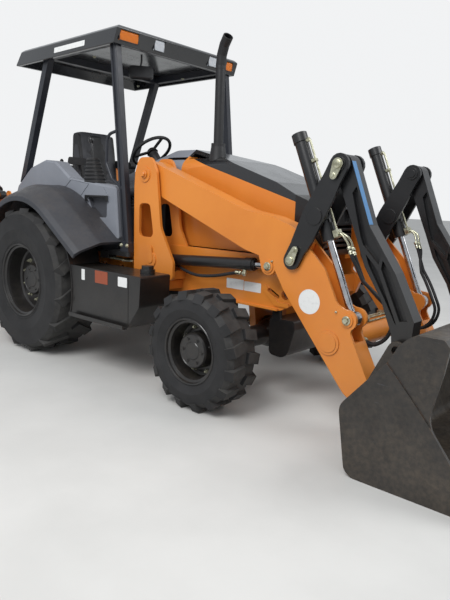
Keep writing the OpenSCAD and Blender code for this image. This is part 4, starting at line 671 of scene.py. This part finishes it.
ARM_Y, ARM_OUT = 0.524, 0.600
TRUNNION, ROD_PIN = Vector((2.830, 1.369)), Vector((3.099, 0.737))
TILT_DOWN = (ROD_PIN - TRUNNION).normalized()
TILT_FRONT = Vector((-TILT_DOWN.y, TILT_DOWN.x))
ARM_TUBE, ARM_TUBE_R = Vector((2.976, 0.571)), 0.090
TUBE_PORT_X, TUBE_PORT_Z = 3.088, 0.584
FOOT_PIN, BOOM_TIP = Vector((-1.720, 0.620)), Vector((-3.809, 2.083))
DIPPER_TIP = Vector((-3.569, 0.563))

# Radii of steel lines, diameters of hoses and the thickness of stickers

LINE_R, THICK_LINE_R = 0.0075, 0.008
TILT_HOSE = COWL_HOSE = 0.022
LIFT_HOSE, HOE_HOSE = 0.024, 0.020
FILM = 0.0012


def on_tilt(s, h, y):
    """A point s down a tilt cylinder from its trunnion and h in front of it."""
    p = TRUNNION + TILT_DOWN * s + TILT_FRONT * h
    return at(p.x, y, p.y)


def along(start, end, s, h, y):
    """A point s along the line from start to end and h above it."""
    way = (end - start).normalized()
    p = start + way * s + Vector((way.y, -way.x)) * h
    return at(p.x, y, p.y)


def on_boom(s, h, y):
    return along(FOOT_PIN, BOOM_TIP, s, h, y)


def on_dipper(s, h, y):
    return along(BOOM_TIP, DIPPER_TIP, s, -h, y)


def tube_port_y(side, k):
    """Where the k-th hose of a side ends on the tube between the arms."""
    return side * (0.385 - 0.034 * k)


def tilt_lines():
    """Steel lines down each tilt cylinder, and the hoses that hang from them to the arms' tube."""
    down = on_tilt(1, 0, 0) - on_tilt(0, 0, 0)
    front = on_tilt(0, 1, 0) - on_tilt(0, 0, 0)
    across = (0, 1, 0)
    # Places down the cylinder, and half the distance between the two hoses of a side
    elbow, clamps, block, half_gap = -0.505, (-0.36, -0.12), 0.14, 0.0125
    run = ((elbow, 0.050), (-0.500, 0.064), (-0.46, 0.066), (-0.2, 0.064), (0.02, 0.066),
           (0.155, 0.068))
    for side, tag in SIDES:
        y = side * ARM_Y
        lines, joints = Form(), Form()
        lines.tube(smooth([on_tilt(s, h, y) for s, h in run]), LINE_R)
        joints.turned(on_tilt(elbow, 0.040, y), front,
                      [(0, 0.016), (0.02, 0.016), (0.024, 0.012)], 6)
        joints.slab(on_tilt(block, 0.050, y), front, across, oblong(0.062, 0.05, 0.006),
                    0.034, 0.003)
        for s in clamps:
            joints.slab(on_tilt(s, 0.043, y), front, across, oblong(0.04, 0.022, 0.004),
                        0.03, 0.003)
        for k, dy in enumerate((-half_gap, half_gap)):
            end = on_tilt(0.262 + 0.01 * k, 0.112 + 0.008 * k, y - side * 0.02 + dy)
            lines.tube(smooth([on_tilt(0.145, 0.080, y + dy), on_tilt(0.15, 0.094, y + dy),
                               on_tilt(0.185, 0.112 + 0.01 * k, y + dy),
                               on_tilt(0.225, 0.116 + 0.012 * k, y - side * 0.012 + dy), end]),
                       LINE_R)
            ferrule(joints, end, down, TILT_HOSE)
            middle = at(3.115, side * (0.475 - 0.03 * k), 0.985 - 0.02 * k)
            hose("tilt_hose_upper_%s_%d" % (tag, k),
                 [end, end + down * 0.05, end.lerp(middle, 0.6), middle],
                 TILT_HOSE, "tilt_barrels", "tilt_levers")
            y_low, back = tube_port_y(side, k), 0.015 * k
            hose("tilt_hose_lower_%s_%d" % (tag, k),
                 [middle, at(3.190 - back, side * (0.435 - 0.032 * k), 0.900),
                  at(3.262 - back, y_low, 0.806), at(3.296 - back, y_low, 0.714),
                  at(3.268 - back, y_low, 0.620), at(3.190 - back * 0.6, y_low, 0.562),
                  at(3.120, y_low, 0.566), at(TUBE_PORT_X, y_low, TUBE_PORT_Z)],
                 TILT_HOSE, "tilt_levers", "loader_arms")
        lines.piece("tilt_line_" + tag, ZINC, "tilt_barrels")
        joints.piece("tilt_fittings_" + tag, ZINC, "tilt_barrels")


def arm_tube_lines():
    """Steel lines, hose ends and clamps on the tube between the arms."""
    tube = Form()
    for k, degrees in enumerate((62, 84, 106)):
        out = in_wheel(math.radians(degrees))
        reach = 0.42 - 0.06 * k
        tube.tube([at(ARM_TUBE.x, y, ARM_TUBE.y) + out * (ARM_TUBE_R + 0.010)
                   for y in (-reach, -0.2, 0.0, 0.2, reach)], LINE_R)
    rise = ((3.086, 0.585), (3.078, 0.612), (3.066, 0.648), (3.036, 0.670), (2.990, 0.674))
    clamp_y, clamp_high, clamp_z = 0.18, 0.024, ARM_TUBE.y + ARM_TUBE_R
    for side, _ in SIDES:
        for k in (0, 1):
            y = tube_port_y(side, k)
            ferrule(tube, at(TUBE_PORT_X, y, TUBE_PORT_Z), (1, 0, -0.35), TILT_HOSE)
            tube.tube(smooth([at(x, y, z) for x, z in rise]), THICK_LINE_R)
        tube.slab(at(ARM_TUBE.x, side * clamp_y, clamp_z), (0, 0, 1), (1, 0, 0),
                  oblong(0.11, 0.05, 0.008), clamp_high, 0.003)
        tube.bolt(at(ARM_TUBE.x, side * clamp_y, clamp_z + clamp_high), (0, 0, 1), 0.018)
    tube.piece("arm_tube_lines", ZINC, "loader_arms")


def lift_lines():
    """Hose from each lift cylinder's gland back to the frame, with its fittings."""
    cylinder_y, elbow_z, port_x, port_z = 0.545, 0.930, 1.40, 0.90
    back = (-1, 0, 0)
    for side, tag in SIDES:
        y = side * cylinder_y
        hose_end = at(2.165, y, elbow_z)
        joints, port = Form(), Form()
        joints.turned(at(2.215, y, 0.957), (0, 0, -1),
                      [(0, 0.017), (0.02, 0.017), (0.045, 0.014)], 6)
        joints.turned(at(2.227, y, elbow_z), back,
                      [(0, 0.012), (0.004, 0.016), (0.028, 0.016), (0.032, 0.012)], 16)
        ferrule(joints, hose_end, back, LIFT_HOSE)
        joints.piece("lift_fittings_" + tag, ZINC, "lift_barrels")
        hose("lift_hose_" + tag,
             [hose_end, at(2.09, y, 0.918), at(1.92, y, 0.880), at(1.74, y, 0.864),
              at(1.58, side * 0.53, 0.885), at(1.47, side * 0.49, 0.905),
              at(port_x, side * 0.450, port_z)],
             LIFT_HOSE, "lift_barrels", "chassis")
        port.turned(at(port_x, side * 0.439, port_z), (0, side, 0),
                    [(0, 0.026), (0.012, 0.026), (0.014, 0.02), (0.026, 0.018)], 6)
        port.piece("lift_port_" + tag, ZINC, "chassis")


def cowl_lines():
    """Hoses from the cowl down to steel lines, and the lines over the tank, on the right side."""
    joints = Form()
    count, cowl_y, drop_x, drop_z = 3, -0.350, 1.045, 1.125
    for k in range(count):
        x, z = 1.035 - 0.012 * k, 1.50 + 0.055 * k
        y = -0.445 - 0.034 * k
        top, low = at(x, cowl_y - 0.002, z), at(drop_x, y, drop_z)
        hose("cowl_hose_%d" % k, bent(top, Vector((top.x, y, top.z)), low, 0.088 + 0.02 * k),
             COWL_HOSE, "chassis")
        ferrule(joints, low, (0, 0, 1), COWL_HOSE)
        joints.turned(at(x, cowl_y, z), (0, -1, 0),
                      [(0, 0.018), (0.012, 0.018), (0.014, 0.014)], 6)
        joints.tube(smooth([low + Vector((0, 0, -0.015)), at(drop_x, y, 1.06),
                            at(1.05, y - 0.01, 1.0), at(1.10, y - 0.04, 0.965 - 0.01 * k),
                            at(1.20, y - 0.06, 0.955 - 0.012 * k)]), THICK_LINE_R)
    for k in range(count):
        y = -0.600 - 0.030 * k
        over_tank = ((0.70, -0.02, 0.925), (0.86, 0, 0.917), (1.0, 0, 0.912), (1.08, 0.01, 0.915))
        joints.tube(smooth([at(x, y + dy, z) for x, dy, z in over_tank]), THICK_LINE_R)
        joints.turned(at(0.95, y, 0.913), (1, 0, 0), [(0, 0.013), (0.03, 0.013)], 6)
    joints.piece("cowl_fittings", ZINC, "chassis")


def hoe_lines():
    """Steel lines on the boom's sides, and hoses over its two end joints."""
    boom_way = on_boom(1, 0, 0) - on_boom(0, 0, 0)
    dipper_way = on_dipper(1, 0, 0) - on_dipper(0, 0, 0)
    line_start, line_end, line_y, heights = 0.46, 1.95, 0.113, (0.030, -0.005)
    clip_h, bend_r = sum(heights) / 2, 0.15
    for side, tag in SIDES:
        lines, clips, ends, posts = (Form() for _ in range(4))
        y = side * line_y
        for k, h in enumerate(heights):
            lines.tube(smooth([on_boom(s, h, y) for s in (line_start, 0.9, 1.4, line_end)]),
                       THICK_LINE_R)
            ferrule(clips, on_boom(line_start, h, y), -boom_way, HOE_HOSE)
            ferrule(clips, on_boom(line_end, h, y), boom_way, HOE_HOSE)
            post_port = at(-1.56, side * (0.14 + 0.01 * k), 0.80 - 0.03 * k)
            hose("foot_hose_%s_%d" % (tag, k),
                 [on_boom(line_start, h, y), on_boom(0.40, h, y),
                  on_boom(0.25, h + 0.04, side * 0.125),
                  on_boom(0.08, h + 0.10, side * (0.14 + 0.012 * k)),
                  at(-1.63, side * (0.145 + 0.012 * k), 0.79 - 0.03 * k), post_port],
                 HOE_HOSE, "boom", "swing_post")
            # Where the boom's line and the dipper's would meet, moved out to the hose's side
            low = -0.01 - 0.03 * k
            dipper_port = on_dipper(0.40, low, side * 0.094)
            turn = intersect_line_line(on_boom(0, h, 0), on_boom(1, h, 0),
                                       on_dipper(0, low, 0), on_dipper(1, low, 0))[0]
            turn += Vector((0, side * (0.150 + 0.012 * k), 0))
            hose("tip_hose_%s_%d" % (tag, k),
                 [on_boom(line_end, h, y)] + bent(on_boom(2.03, h, y), turn, dipper_port, bend_r),
                 HOE_HOSE, "boom", "dipper")
            ends.turned(dipper_port, dipper_way,
                        [(-0.02, 0.013), (0.02, 0.013), (0.022, 0.010), (0.05, 0.010)], 6)
            posts.turned(post_port, (-1, 0, 0), [(-0.03, 0.013), (0.02, 0.013), (0.022, 0.011)],
                         6)
        for s in (0.62, 1.15, 1.70):
            clips.slab(on_boom(s, clip_h, side * 0.105), (0, side, 0), boom_way,
                       oblong(0.03, 0.085, 0.006), 0.019, 0.002)
            clips.bolt(on_boom(s, clip_h, side * 0.124), (0, side, 0), 0.012)
        lines.piece("boom_lines_" + tag, STEEL, "boom")
        clips.piece("boom_clips_" + tag, ZINC, "boom")
        ends.piece("dipper_ports_" + tag, ZINC, "dipper")
        posts.piece("post_ports_" + tag, ZINC, "swing_post")


def wheel_details():
    """Studs and nuts, hub bolts, valve, and moulded rings on the tyres' walls."""
    # Axle x and z, middle y, nuts' circle, count and face, hub, cap's face, rim, tyre's width
    rows = (("front", 2.155, 0.420, 0.913, 0.161, 8, -0.008, 0.130, 0.089, 0.235, 0.310),
            ("rear", 0.0, 0.660, 0.855, 0.196, 10, 0.052, 0.150, 0.104, 0.335, 0.490))
    stud = [(0.018, 0.0085), (0.032, 0.0085), (0.034, 0.007)]
    valve = [(0, 0.007), (0.03, 0.006), (0.045, 0.006), (0.047, 0.004)]
    valve_angle, nut_wide, nut_high, hub_bolt_wide = 0.35, 0.027, 0.022, 0.016
    for end, x, z, y_mid, circle, count, face, hub, cap, rim, wide in rows:
        for side, tag in SIDES:
            name = "%s_%s" % (end, tag)
            centre, out = at(x, side * y_mid, z), Vector((0, side, 0))
            nuts, hub_bolts, walls = Form(), Form(), Form()
            for k in range(count):
                a = 2 * math.pi * (k + 0.5) / count
                spot = centre + in_wheel(a, circle) + out * face
                nuts.bolt(spot, out, nut_wide, nut_high, a)
                nuts.turned(spot, out, stud, 12)
            for a in around(6):
                spot = centre + in_wheel(a) * hub * 0.68 + out * cap
                hub_bolts.bolt(spot, out, hub_bolt_wide)
            stem = centre + in_wheel(valve_angle) * (rim - 0.060) + out * (wide / 2 - 0.10)
            hub_bolts.turned(stem, out, valve, 10)
            wall = centre + out * (wide / 2 - 0.0205)
            for step, thick in ((0.018, 0.004), (0.030, 0.0025)):
                walls.ring(wall, out, rim + step, thick)
            nuts.piece("wheel_nuts_" + name, ZINC, "wheel_" + name)
            hub_bolts.piece("hub_bolts_" + name, BLACK, "wheel_" + name)
            walls.piece("wall_rings_" + name, TYRE, "wheel_" + name)


def keeper(form, pin, bolt_at, side, face):
    """An oval plate that holds a pin, with the pin's head and a bolt through it."""
    pin_r, bolt_r, thick = 0.036, 0.024, 0.008
    way = (bolt_at - pin).normalized()
    square = Vector((-way.y, way.x))
    outline = []
    for a in around(24):
        end, r = (pin, pin_r) if math.cos(a) < 0 else (bolt_at, bolt_r)
        outline.append(end + way * math.cos(a) * r + square * math.sin(a) * r)
    form.skin([[at(p.x, side * (face + h), p.y) for p in outline] for h in (0, thick)])
    form.turned(at(pin.x, side * (face + thick), pin.y), (0, side, 0),
                [(0, 0.027), (0.008, 0.027), (0.011, 0.022)], 24)
    form.bolt(at(bolt_at.x, side * (face + thick), bolt_at.y), (0, side, 0), 0.022)


def pin_details():
    """Keepers, bolts and grease nipples of the pins that show."""
    levers, arms, chassis, boom = (Form() for _ in range(4))
    held = (((2.673, 1.074), (2.708, 1.146)), ((2.983, 1.689), (2.958, 1.620)))
    nipple = [(0, 0.007), (0.006, 0.007), (0.008, 0.004), (0.014, 0.005), (0.017, 0.002)]
    for side, _ in SIDES:
        out = (0, side, 0)
        for pin, bolt_at in held:
            keeper(levers, Vector(pin), Vector(bolt_at), side, 0.6405)
        for x, z in ((2.465, 1.012), (3.099, 0.737)):
            arms.bolt(at(x, side * 0.6085, z), out, 0.036)
        arms.bolt(at(3.260, side * 0.6455, 0.250), out, 0.030)
        chassis.bolt(at(1.220, side * 0.655, 1.630), out, 0.040)
        for x, z in ((3.02, 0.78), (2.50, 1.05)):
            arms.turned(at(x, side * ARM_OUT, z), out, nipple, 10)
        for y, spot in ((0.123, FOOT_PIN), (0.129, BOOM_TIP)):
            boom.bolt(at(spot.x, side * y, spot.y), out, 0.030)
    levers.piece("lever_keepers", ZINC, "tilt_levers")
    arms.piece("arm_bolts", ZINC, "loader_arms")
    chassis.piece("tower_bolts", ORANGE, "chassis")
    boom.piece("boom_bolts", ZINC, "boom")
    # Weld beads where the tube meets the arms
    rng = random.Random(11)
    for side, tag in SIDES:
        bead = Form()
        for y, r in ((0.4245, 0.0905), (0.4475, 0.1045)):
            bead.ring(at(ARM_TUBE.x, side * y, ARM_TUBE.y), (0, 1, 0), r, 0.0045, 0.25, rng)
        bead.piece("tube_weld_" + tag, ORANGE, "loader_arms")


def sticker(name, finish, body, place, face, outline):
    """A flat film on a face, level along x."""
    form = Form()
    form.slab(place, face, (1, 0, 0), outline, FILM)
    form.piece(name, finish, body)


def films():
    """Blank stickers: the arm's round one, labels of rail, tank and roof, the torn blue film."""
    outwards = (0, -1, 0)
    sticker("arm_disc", WHITE, "loader_arms", at(2.814, -ARM_OUT - 0.0002, 0.815), outwards,
            disc(0.082))
    rail_y, tank_y = -0.4402, -1.0002
    for name, finish, (xa, za), (xb, zb), y in (
            ("rail_label_rear", WHITE, (1.955, 0.785), (2.125, 0.862), rail_y),
            ("rail_label_front", WHITE, (2.130, 0.785), (2.290, 0.856), rail_y),
            ("tank_label_red", RED, (1.035, 0.858), (1.200, 0.758), tank_y),
            ("tank_label_white", WHITE, (1.330, 0.840), (1.440, 0.765), tank_y),
            ("tank_label_small", WHITE, (0.850, 0.850), (0.895, 0.760), tank_y)):
        sticker(name, finish, "chassis", at((xa + xb) / 2, y, (za + zb) / 2), outwards,
                oblong(abs(xa - xb), abs(za - zb), 0.006))
    sticker("roof_label", WHITE, "chassis", at(0.30, -0.7325, 2.706), (0, -1, 0.12),
            oblong(0.46, 0.045, 0.005))
    # The blue film runs down the front edge of the right tilt link, in pieces of uneven width
    blue = Form()
    front = [(3.041, 1.710), (3.061, 1.659), (3.100, 1.559), (3.150, 1.432), (3.188, 1.335)]
    inner, lift, thick = -0.578, 0.0016, 0.001
    rng = random.Random(5)
    for (xa, za), (xb, zb) in zip(front, front[1:]):
        way = Vector((xb - xa, 0, zb - za)).normalized()
        out = Vector((-way.z, 0, way.x))
        wide = 0.046 + rng.uniform(-0.006, 0.004)
        near, far = Vector((0, inner, 0)), Vector((0, inner + wide, 0))
        rows = []
        for t in (0.0, 0.5, 1.0):
            p = at(xa + (xb - xa) * t, 0, za + (zb - za) * t) + out * lift
            rows.append([p + near, p + far, p + far - out * thick, p + near - out * thick])
        blue.skin(rows)
    blue.piece("blue_film", BLUE, "tilt_links")


def canopy_details():
    """Lamp bezels, the mirror under the roof and bolts at the posts' feet."""
    bezels = Form()
    # Each lamp's middle, width and height, and how far its bezel stands round it
    lamps = ((-0.596, 0.190, 0.076), (-0.269, 0.112, 0.084), (0.398, 0.112, 0.084),
             (0.629, 0.090, 0.076))
    front_x, lamp_z, grow = 0.9485, 2.718, 0.006
    for y, wide, high in lamps:
        edge = oblong(wide + grow, high + grow, 0.012, 5)
        path = [at(front_x, y, lamp_z) + Vector((0, u, v)) for u, v in edge]
        bezels.tube(path + [path[0]], 0.004, 8)
    bezels.piece("lamp_bezels", BLACK, "chassis")
    mirror, glass = Form(), Form()
    mirror.tube(smooth([at(0.80, -0.34, 2.655), at(0.80, -0.34, 2.60),
                        at(0.795, -0.345, 2.56)]), 0.008)
    middle = at(0.80, -0.345, 2.50)
    facing = Vector((-0.62, 0.45, -0.35)).normalized()
    across = basis(facing)[0]
    mirror.slab(middle, -facing, across, oblong(0.21, 0.125, 0.035, 6), 0.030, 0.012)
    glass.slab(middle, facing, -across, oblong(0.195, 0.11, 0.03, 6), 0.0025)
    mirror.piece("mirror_shell", DARK, "chassis")
    glass.piece("mirror_glass", CHROME, "chassis")
    feet = Form()
    for side, _ in SIDES:
        for x, z in ((0.99, 1.045), (1.065, 1.045)):
            feet.bolt(at(x, side * 0.6995, z), (0, side, 0), 0.022)
        for x in (-0.30, 0.40):
            feet.bolt(at(x, side * 0.540, 2.652), (0, 0, -1), 0.020)
    feet.piece("post_bolts", ZINC, "chassis")


def lever_boot():
    """Pleated boot and lever on the right console."""
    boot, lever = Form(), Form()
    foot, top, folds = at(0.50, -0.612, 1.548), at(0.465, -0.605, 1.775), 14
    fold_out, fold_in = 0.014, -0.004
    rings = []
    for k in range(folds + 1):
        t = k / folds
        out = fold_out if k % 2 else fold_in
        wide, deep = 0.240 - 0.125 * t + out, 0.124 - 0.048 * t + out
        middle = foot.lerp(top, t)
        rings.append([middle + Vector((u, v, 0)) for u, v in oblong(wide, deep, deep * 0.4)])
    boot.skin(rings)
    boot.piece("lever_boot", DARK, "chassis")
    lever.tube(smooth([top, at(0.455, -0.605, 1.85), at(0.435, -0.603, 1.93)]), 0.008)
    lever.turned(at(0.440, -0.603, 1.905), (-0.25, 0, 1),
                 [(0, 0.010), (0.012, 0.021), (0.034, 0.025), (0.052, 0.018), (0.060, 0.008)])
    lever.piece("control_lever", BLACK, "chassis")


def cushion(name, rows, power, body, shape):
    """A stuffed form through rows of (middle, half across, half upwards), rounded at its ends."""
    form = Form()
    rings = []
    for centre, across, up in rows:
        ring = []
        for a in around(48):
            c, s = math.cos(a), math.sin(a)
            u = math.copysign(abs(c) ** (2 / power), c)
            v = math.copysign(abs(s) ** (2 / power), s)
            ring.append(shape(centre + across * u + up * v, v))
        rings.append(ring)
    form.skin(rings)
    made = form.piece(name, VINYL)
    made.data.set_sharp_from_angle(angle=math.pi)
    soft = made.modifiers.new("soft", "SUBSURF")
    soft.levels = soft.render_levels = 1
    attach(made, body)


def seat_cushions():
    """Crowned seat and back cushions with sewn channels, over the seat's frame."""
    def rows_between(count, place):
        # Ends pull in as a sewn cushion's do
        shares = [k / count for k in range(count + 1)]
        return [place(t, max((1 - abs(2 * t - 1) ** 9) ** 0.5, 0.35)) for t in shares]

    def channels(value, spacing, depth):
        near = abs((value / spacing) % 1 - 0.5) * 2
        return depth * math.exp(-((1 - near) / 0.14) ** 2)

    def hollow(value, half, depth):
        return depth * max(0, 1 - (value / half) ** 2)

    def seam(value, place, depth):
        return depth * math.exp(-((abs(value) - place) / 0.007) ** 2)

    def base_row(t, pull):
        x = -0.348 + 0.508 * t
        return (at(x, 0, 1.530 - 0.008 * t), Vector((0, 0.262 * (0.90 + 0.10 * pull), 0)),
                Vector((0, 0, 0.088 * pull)))

    def base_shape(point, v):
        if v > 0:
            sewn = channels(point.x - SHIFT, 0.088, 0.006) * (abs(point.y) < 0.16)
            point.z -= (hollow(point.y, 0.165, 0.030) + sewn) * v
            point.z -= seam(point.y, 0.168, 0.008) * v
        return point

    def back_row(t, pull):
        z = 1.455 + 0.640 * t
        lean = -0.338 - 0.040 * t
        wide = 0.232 * (0.88 + 0.12 * pull) * (1 - 0.10 * t ** 3)
        return (at(lean, 0, z), Vector((0, wide, 0)),
                Vector(((0.110 - 0.045 * t) * (0.6 + 0.4 * pull), 0, 0)))

    def back_shape(point, v):
        if v > 0:
            sewn = channels(point.z, 0.094, 0.006) * (abs(point.y) < 0.145)
            point.x -= (hollow(point.y, 0.15, 0.020) + sewn) * v
            point.x -= seam(point.y, 0.152, 0.007) * v
        return point

    cushion("seat_cushion", rows_between(26, base_row), 5.0, "chassis", base_shape)
    cushion("seat_back", rows_between(30, back_row), 4.0, "chassis", back_shape)
    piping = Form()
    edge = ((-0.335, 0.252, 1.585), (-0.2, 0.259, 1.590), (0.0, 0.259, 1.588),
            (0.135, 0.252, 1.575))
    for side, _ in SIDES:
        piping.tube(smooth([at(x, side * y, z) for x, y, z in edge]), 0.005, 8)
    piping.piece("seat_piping", VINYL, "chassis")


tilt_lines()
arm_tube_lines()
lift_lines()
cowl_lines()
hoe_lines()
wheel_details()
pin_details()
films()
canopy_details()
lever_boot()
seat_cushions()
